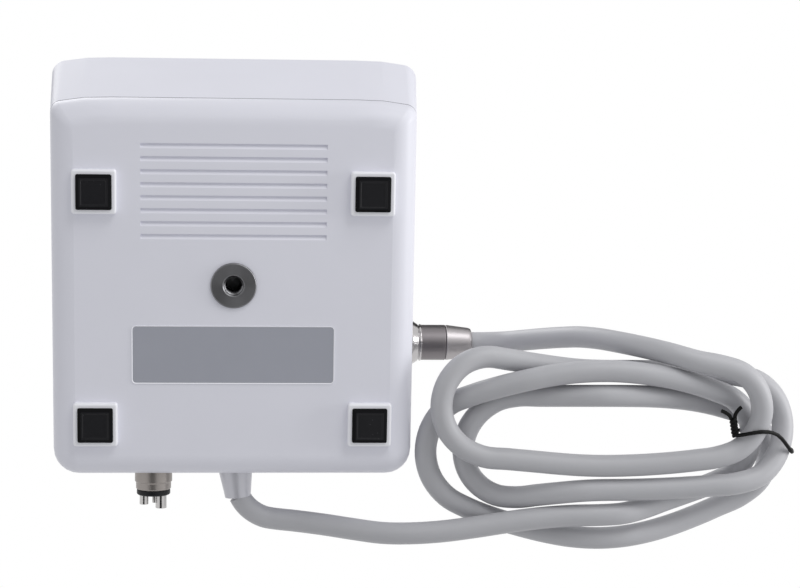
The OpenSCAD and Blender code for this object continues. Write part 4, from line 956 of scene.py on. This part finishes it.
# %% Motor tail and nut
TAIL_DARK_X = 84.6
tail = turned("motor_end", rounded(
    [(5.6, -4), (9.2, -4), (9.2, 0), (10.2, 0), (10.0, 0.5), (8.35, 3), (7.85, 3.1), (7.85, 3.5),
     (8.35, 3.6), (8.35, 4.4), (8, 4.55), (8, 15.35), (7.8, 15.6), (5.6, 15.6), (5.6, -4)], 0.15),
    motor_frame(TAIL_X), 96)
paint(tail, MOTOR_STEEL)
paint_part(tail, TAIL_DARK, lambda middle: middle.x > TAIL_DARK_X * MM)
done(tail, "motor", "motor_steel", "motor_tail")
nut = turned("hose_nut", [Vector(p) for p in ((0, 8), (5.6, 8), (5.6, 0))]
             + rounded([(5.6, 0), (7.7, 0), (8, 0.3), (6.75, 10.1), (6.3, 11.5), (4.9, 12),
                        (0, 12)], 0.9, 5)[1:], motor_frame(NUT_X), 96)
done(paint(nut, NUT_STEEL), "motor", "motor_steel", "tail_nut")

# %% [markdown]
# ## The wire tie
# A black wire tie holds the coil together: it goes once round all the strands, and its two ends
# are twisted together on the inside of the coil. The loop is the outline round the strands'
# circles. The twist is two screw lines about one short axis, and the tips bend apart.

# %% Loop of the wire tie
TIE_R = 0.85
TIE_BOW = 6.5
BOW_MID, BOW_REACH, BOW_MOST = 4, 14, 1.2
BOW_Z, BOW_OVER = 16, 12
LOOP_ANGLES = range(195, 540, 5)
LONGEST_STEP = 4
TIE_AT = Vector((224.6, 67.4, 0))
TIE_TURN = math.radians(18)
TIE_AIM = Vector((math.cos(TIE_TURN), math.sin(TIE_TURN), 0))
TIE_OUT = Vector((-math.sin(TIE_TURN), math.cos(TIE_TURN), 0))
strands = [right_turn(k, i / 200) - TIE_AT for k in range(4) for i in range(60, 137)]


def round_strands(angle, off):
    """The wire's place on one side of the strands, off its plane by so much."""
    facing = TIE_AIM * math.cos(angle) + Vector((0, 0, math.sin(angle)))
    near = [c for c in strands if abs(c.dot(TIE_OUT) - off) < 3]
    middle = max(near, key=lambda c: c.dot(facing))
    return middle + TIE_OUT * (off - middle.dot(TIE_OUT)) + facing * (HOSE_SKIN + TIE_R)


loop = []
for angle in LOOP_ANGLES:
    flat = round_strands(math.radians(angle), 0)
    if loop and (flat - loop[-1]).length > LONGEST_STEP:
        loop += [loop[-1].lerp(flat, i / 6) for i in range(1, 6)]
    loop.append(flat)
for i, spot in enumerate(loop):
    side = min(abs(spot.dot(TIE_AIM) - BOW_MID) / BOW_REACH, BOW_MOST)
    under = ease((BOW_Z - spot.z) / BOW_OVER)
    loop[i] = TIE_AT + spot + TIE_OUT * TIE_BOW * under * (side ** 2 - 1)
print("loop of the tie:", len(loop), "points")

# %% Twist of the wire tie
TWIST_OFF, TWIST_Z = 9.8, 5.4
TWIST_AT = TIE_AT - TIE_AIM * TWIST_OFF + Vector((0, 0, TWIST_Z))
TWIST_AIM = Vector((-0.20, -0.97, -0.10)).normalized()
TWIST_L, TWIST_TURNS, TWIST_STEPS = 8.0, 2.5, 40
TIP_STEPS, TIP_STEP, TIP_SPREAD = 8, 0.55, 0.055
side_a = TWIST_AIM.cross(Vector((0, 0, 1))).normalized()
side_b = TWIST_AIM.cross(side_a)


def twist(turn):
    """One of the two wires of the twist; turn says where on the circle it starts."""
    wire = []
    apart = TIE_R * 1.05
    for i in range(TWIST_STEPS + 1):
        t = i / TWIST_STEPS
        a = turn + TWIST_TURNS * 2 * math.pi * t
        spot = TWIST_AT + TWIST_AIM * TWIST_L * t
        wire.append(spot + apart * (math.cos(a) * side_a + math.sin(a) * side_b))
    away = (wire[-1] - TWIST_AT - TWIST_AIM * TWIST_L).normalized()
    for i in range(1, TIP_STEPS + 1):
        step = TWIST_AIM * TIP_STEP * i + away * TIP_SPREAD * i * i
        wire.append(wire[TWIST_STEPS] + step)
    return [Vector((p.x, p.y, max(p.z, TIE_R + 0.06))) for p in wire]


first, second = twist(0.0), twist(math.pi)
tie_line = [p * MM for p in list(reversed(first)) + loop + second]
tie = tube("wire_tie", tie_line, TIE_R * MM, 3)
done(paint(tie, TIE_BLACK), "housing", "tie_black", "coil_tie", sharp=70)

# %% [markdown]
# ## Control panel
# The panel on the sloped top is a film with a display window and six keys. A thin printed border
# goes round the window, and a short bar stands over each key. Print could be drawn in a material,
# but here it is thin raised bars, which are as sharp as the real print from any side.

# %% Panel frame, film and window border
PANEL = (Matrix.Translation((0, -40.324 * MM, 61.914 * MM))
         @ Matrix.Rotation(math.radians(11.888658), 4, "X"))
KEY_PITCH, KEY_ROW, KEY_BAR_Y = 18.4, -16, -8.4
KEY_XS = [(i - 2.5) * KEY_PITCH for i in range(6)]
WINDOW_Y, WINDOW_HALF_W, WINDOW_HALF_L = 16, 32, 14.2
LINE_W, LINE_Z, LINE_CORNER = 0.5, 0.03, 0.2
BORDER_W, BORDER_L, KEY_BAR = 64, 28.9, 8
film = softened("control_fascia", "panel_film", 0.15)
done(paint(film, FASCIA_FILM), "housing", "fascia", "control_fascia")


def printed(name, w, l, x, y, z, corner, thick=0.06):
    """A thin raised bar of print on the panel, with round corners."""
    bar = start(name, bpy.ops.mesh.primitive_cube_add, size=MM, location=(x * MM, y * MM, z * MM),
                scale=(w, l, thick))
    edit(bar, "EDGE")
    pick_edges(bar, lambda a, b: abs(a.z - b.z) > 0.5 * thick * MM)
    bpy.ops.mesh.bevel(offset=corner * MM, segments=4)
    clear()
    return bar


frame_bars = []
for y in (WINDOW_Y - WINDOW_HALF_L, WINDOW_Y + WINDOW_HALF_L):
    frame_bars.append(printed("bar", BORDER_W, LINE_W, 0, y, LINE_Z, LINE_CORNER))
for x in (-WINDOW_HALF_W, WINDOW_HALF_W):
    frame_bars.append(printed("bar", LINE_W, BORDER_L, x, WINDOW_Y, LINE_Z, LINE_CORNER))
for x in KEY_XS:
    frame_bars.append(printed("bar", KEY_BAR, LINE_W, x, KEY_BAR_Y, LINE_Z, LINE_CORNER))
border = lay(join(frame_bars, "panel_print"), PANEL)
done(paint(border, MARK_PALE), "housing", "fascia")

# %% [markdown]
# ## Keys
# The keys are turned caps with a shallow dish for the finger. One cap is modelled and copied; each
# copy gets its own plain sign of one or two short bars or a square, and rides on its own body.

# %% Keys
SIGN_Z, SIGN_CORNER, SIGN_T = 1.36, 0.25, 0.12
cap = turned("cap", [Vector((0, -4.9)), Vector((1.5, -4.9))] + rounded(
    [(1.5, -4.9), (1.5, -3.4), (5.8, -3.4), (5.8, -2.5), (5, -2.5), (5, 1.1), (4.5, 1.6),
     (3.6, 1.45), (0, 1.3)], 0.25)[1:], Matrix.Identity(4), 48)
signs = {1: [(3.2, 0.6, 0)], 2: [(3.2, 0.6, 0), (0.6, 3.2, 0)], 3: [(2.0, 2.0, 0)],
         4: [(0.6, 3.2, -0.8), (0.6, 3.2, 0.8)], 5: [(3.4, 0.6, 0), (0.6, 2.2, 1.4)],
         6: [(1.4, 1.4, 0)]}
for i in range(1, 7):
    pieces = [paint(copy_of(cap, f"key_cap_{i}", Matrix.Identity(4)), KEY_GREY)]
    for w, l, x in signs[i]:
        sign = printed("sign", w, l, x, 0, SIGN_Z, SIGN_CORNER, SIGN_T)
        pieces.append(paint(sign, MARK_DARK))
    place = PANEL @ Matrix.Translation((KEY_XS[i - 1] * MM, KEY_ROW * MM, 0))
    key = lay(join(pieces, f"key_cap_{i}"), place)
    done(key, f"key_{i}", "key_grey", f"key_{i}", sharp=40)
bpy.data.objects.remove(cap)

# %% [markdown]
# ## Digits
# The display behind the window shows a speed in three plain digits of seven bars each. The bars
# are the same thin print as the panel's, laid on the face of the display.

# %% Digits of the display
DIGIT_PITCH, DISPLAY_Z = 9.5, -4.77
SEGMENT_L, SEGMENT_W, SEGMENT_CORNER = 4.2, 0.8, 0.3
SEGMENTS = {"0": "abcdef", "2": "abged", "5": "afgcd"}
SEGMENT_PLACES = {"a": (0, 5, 1), "d": (0, -5, 1), "g": (0, 0, 1), "f": (-2.6, 2.5, 0),
                  "b": (2.6, 2.5, 0), "e": (-2.6, -2.5, 0), "c": (2.6, -2.5, 0)}
bars = []
for slot, digit in enumerate("250"):
    for part in SEGMENTS[digit]:
        x, y, flat = SEGMENT_PLACES[part]
        w, l = (SEGMENT_L, SEGMENT_W) if flat else (SEGMENT_W, SEGMENT_L)
        x += (slot - 1) * DIGIT_PITCH
        bars.append(printed("bar", w, l, x, WINDOW_Y + y, DISPLAY_Z, SEGMENT_CORNER))
digits = lay(join(bars, "display_digits"), PANEL)
done(paint(digits, MARK_DARK), "housing", "electronics")

# %% [markdown]
# ## Switch and power socket
# The rear wall carries a rocker switch and a round low voltage socket. Their solids have the
# right shape, so copies of them only get soft edges, as the shells did.

# %% Switch and socket
for node, name, body in (("switch_housing", "switch_bezel", "housing"),
                         ("low_voltage_inlet", "power_socket", "housing"),
                         ("power_rocker", "rocker_paddle", "rocker")):
    piece = softened(node, name, 0.2)
    done(paint(piece, BLACK_PLASTIC), body, "black_plastic", node)

# %% [markdown]
# ## Floor, light and background
# The object stands on a pale floor, but the camera looks up from below it. So the floor is
# see-through from its back, and it neither shades nor tints the object. The world gives a soft
# fill; seen by the camera, or in metal and glass, it is plain white.

# %% Stage
clear()
bpy.ops.mesh.primitive_plane_add(size=8, location=(0, 0, -0.0002))
floor = bpy.context.object
floor.name = "floor"
for ray in ("diffuse", "glossy", "transmission", "volume_scatter", "shadow"):
    setattr(floor, "visible_" + ray, False)
floor_paint = bpy.data.materials.new("floor_paint")
floor_paint.use_nodes = True
tree = floor_paint.node_tree
shader = tree.nodes["Principled BSDF"]
shader.inputs["Roughness"].default_value = 0.9
place = tree.nodes.new("ShaderNodeTexCoord").outputs["Object"]
tones = place_group(tree, tone, Vector=place, Color=(0.86, 0.86, 0.87, 1), Amount=0.02, Scale=3)
tree.links.new(tones.outputs["Color"], shader.inputs["Base Color"])
clear_glass = tree.nodes.new("ShaderNodeBsdfTransparent")
side = tree.nodes.new("ShaderNodeNewGeometry").outputs["Backfacing"]
either = tree.nodes.new("ShaderNodeMixShader")
tree.links.new(side, either.inputs["Fac"])
tree.links.new(shader.outputs[0], either.inputs[1])
tree.links.new(clear_glass.outputs[0], either.inputs[2])
tree.links.new(either.outputs[0], tree.nodes["Material Output"].inputs["Surface"])
paint(floor, floor_paint)
print("floor:", tuple(floor.dimensions))

# %% World
world = bpy.data.worlds.new("studio")
scene.world = world
world.use_nodes = True
tree = world.node_tree
path = tree.nodes.new("ShaderNodeLightPath")
seen = math_node(tree, "MAXIMUM", path.outputs["Is Camera Ray"],
                 path.outputs["Is Transmission Ray"])
seen = math_node(tree, "MAXIMUM", seen, path.outputs["Is Glossy Ray"])
soft_fill = tree.nodes["Background"]
soft_fill.inputs["Color"].default_value = (0.97, 0.98, 1.0, 1)
soft_fill.inputs["Strength"].default_value = 0.56
white = tree.nodes.new("ShaderNodeBackground")
white.inputs["Color"].default_value = (1, 1, 1, 1)
white.inputs["Strength"].default_value = 1.0
either = tree.nodes.new("ShaderNodeMixShader")
tree.links.new(seen, either.inputs["Fac"])
tree.links.new(soft_fill.outputs[0], either.inputs[1])
tree.links.new(white.outputs[0], either.inputs[2])
tree.links.new(either.outputs[0], tree.nodes["World Output"].inputs["Surface"])
print("fill light:", soft_fill.inputs["Strength"].default_value)

# %% [markdown]
# ## Lamps and cards
# Large soft lamps light the underside from the front and the right, and another one lights the
# top from above. Bright metal shows whatever is round it, so three dark cards stand outside the
# view, as in a photographer's studio. They are seen only in reflections and cast no shade.

# %% Lamps
def lamp(name, place, target, size, power):
    data = bpy.data.lights.new(name, "AREA")
    data.shape = "DISK"
    data.size = size
    data.energy = power
    obj = bpy.data.objects.new(name, data)
    aim = (Vector(target) - Vector(place)).to_track_quat("-Z", "Y")
    obj.matrix_world = Matrix.Translation(place) @ aim.to_matrix().to_4x4()
    obj.visible_camera = False
    scene.collection.objects.link(obj)
    print("lamp", name, "of", power, "W")


lamp("front_below", (0.6, -1.2, -0.55), (0.05, 0, 0.02), 0.8, 6)
lamp("right_low", (1.3, -0.15, -0.12), (0.05, 0.02, 0.02), 0.5, 6)
lamp("above", (-0.5, -0.7, 1.3), (0.05, 0, 0.04), 0.9, 10)

# %% Dark cards
CARD_BLACK = finish("card_black", (0.02, 0.02, 0.02), 0.9, change=0.1, bump=0.0)


def card(name, place, size, tilt=0):
    """A dark card, seen only in reflections; tilt turns it about X, in degrees."""
    clear()
    bpy.ops.mesh.primitive_plane_add(size=1)
    piece = bpy.context.object
    piece.name = name
    lay(piece, Matrix.Translation(place) @ Matrix.Rotation(math.radians(tilt), 4, "X")
        @ Matrix.Diagonal((*size, 1, 1)))
    for ray in ("camera", "diffuse", "transmission", "volume_scatter", "shadow"):
        setattr(piece, "visible_" + ray, False)
    paint(piece, CARD_BLACK)
    print(name, "of", size, "m")


card("card_below", (-0.13, 0.1, -1.0), (0.8, 0.9))
card("card_front", (-0.2, -1.0, -0.55), (0.95, 1.1), 60)
card("card_above", (0, -0.7, 0.9), (1.8, 1.2))

# %% [markdown]
# The dressed object has to keep the size of the mechanical model. The last line sets the Standard
# view transform.

scene.view_settings.view_transform = "Standard"
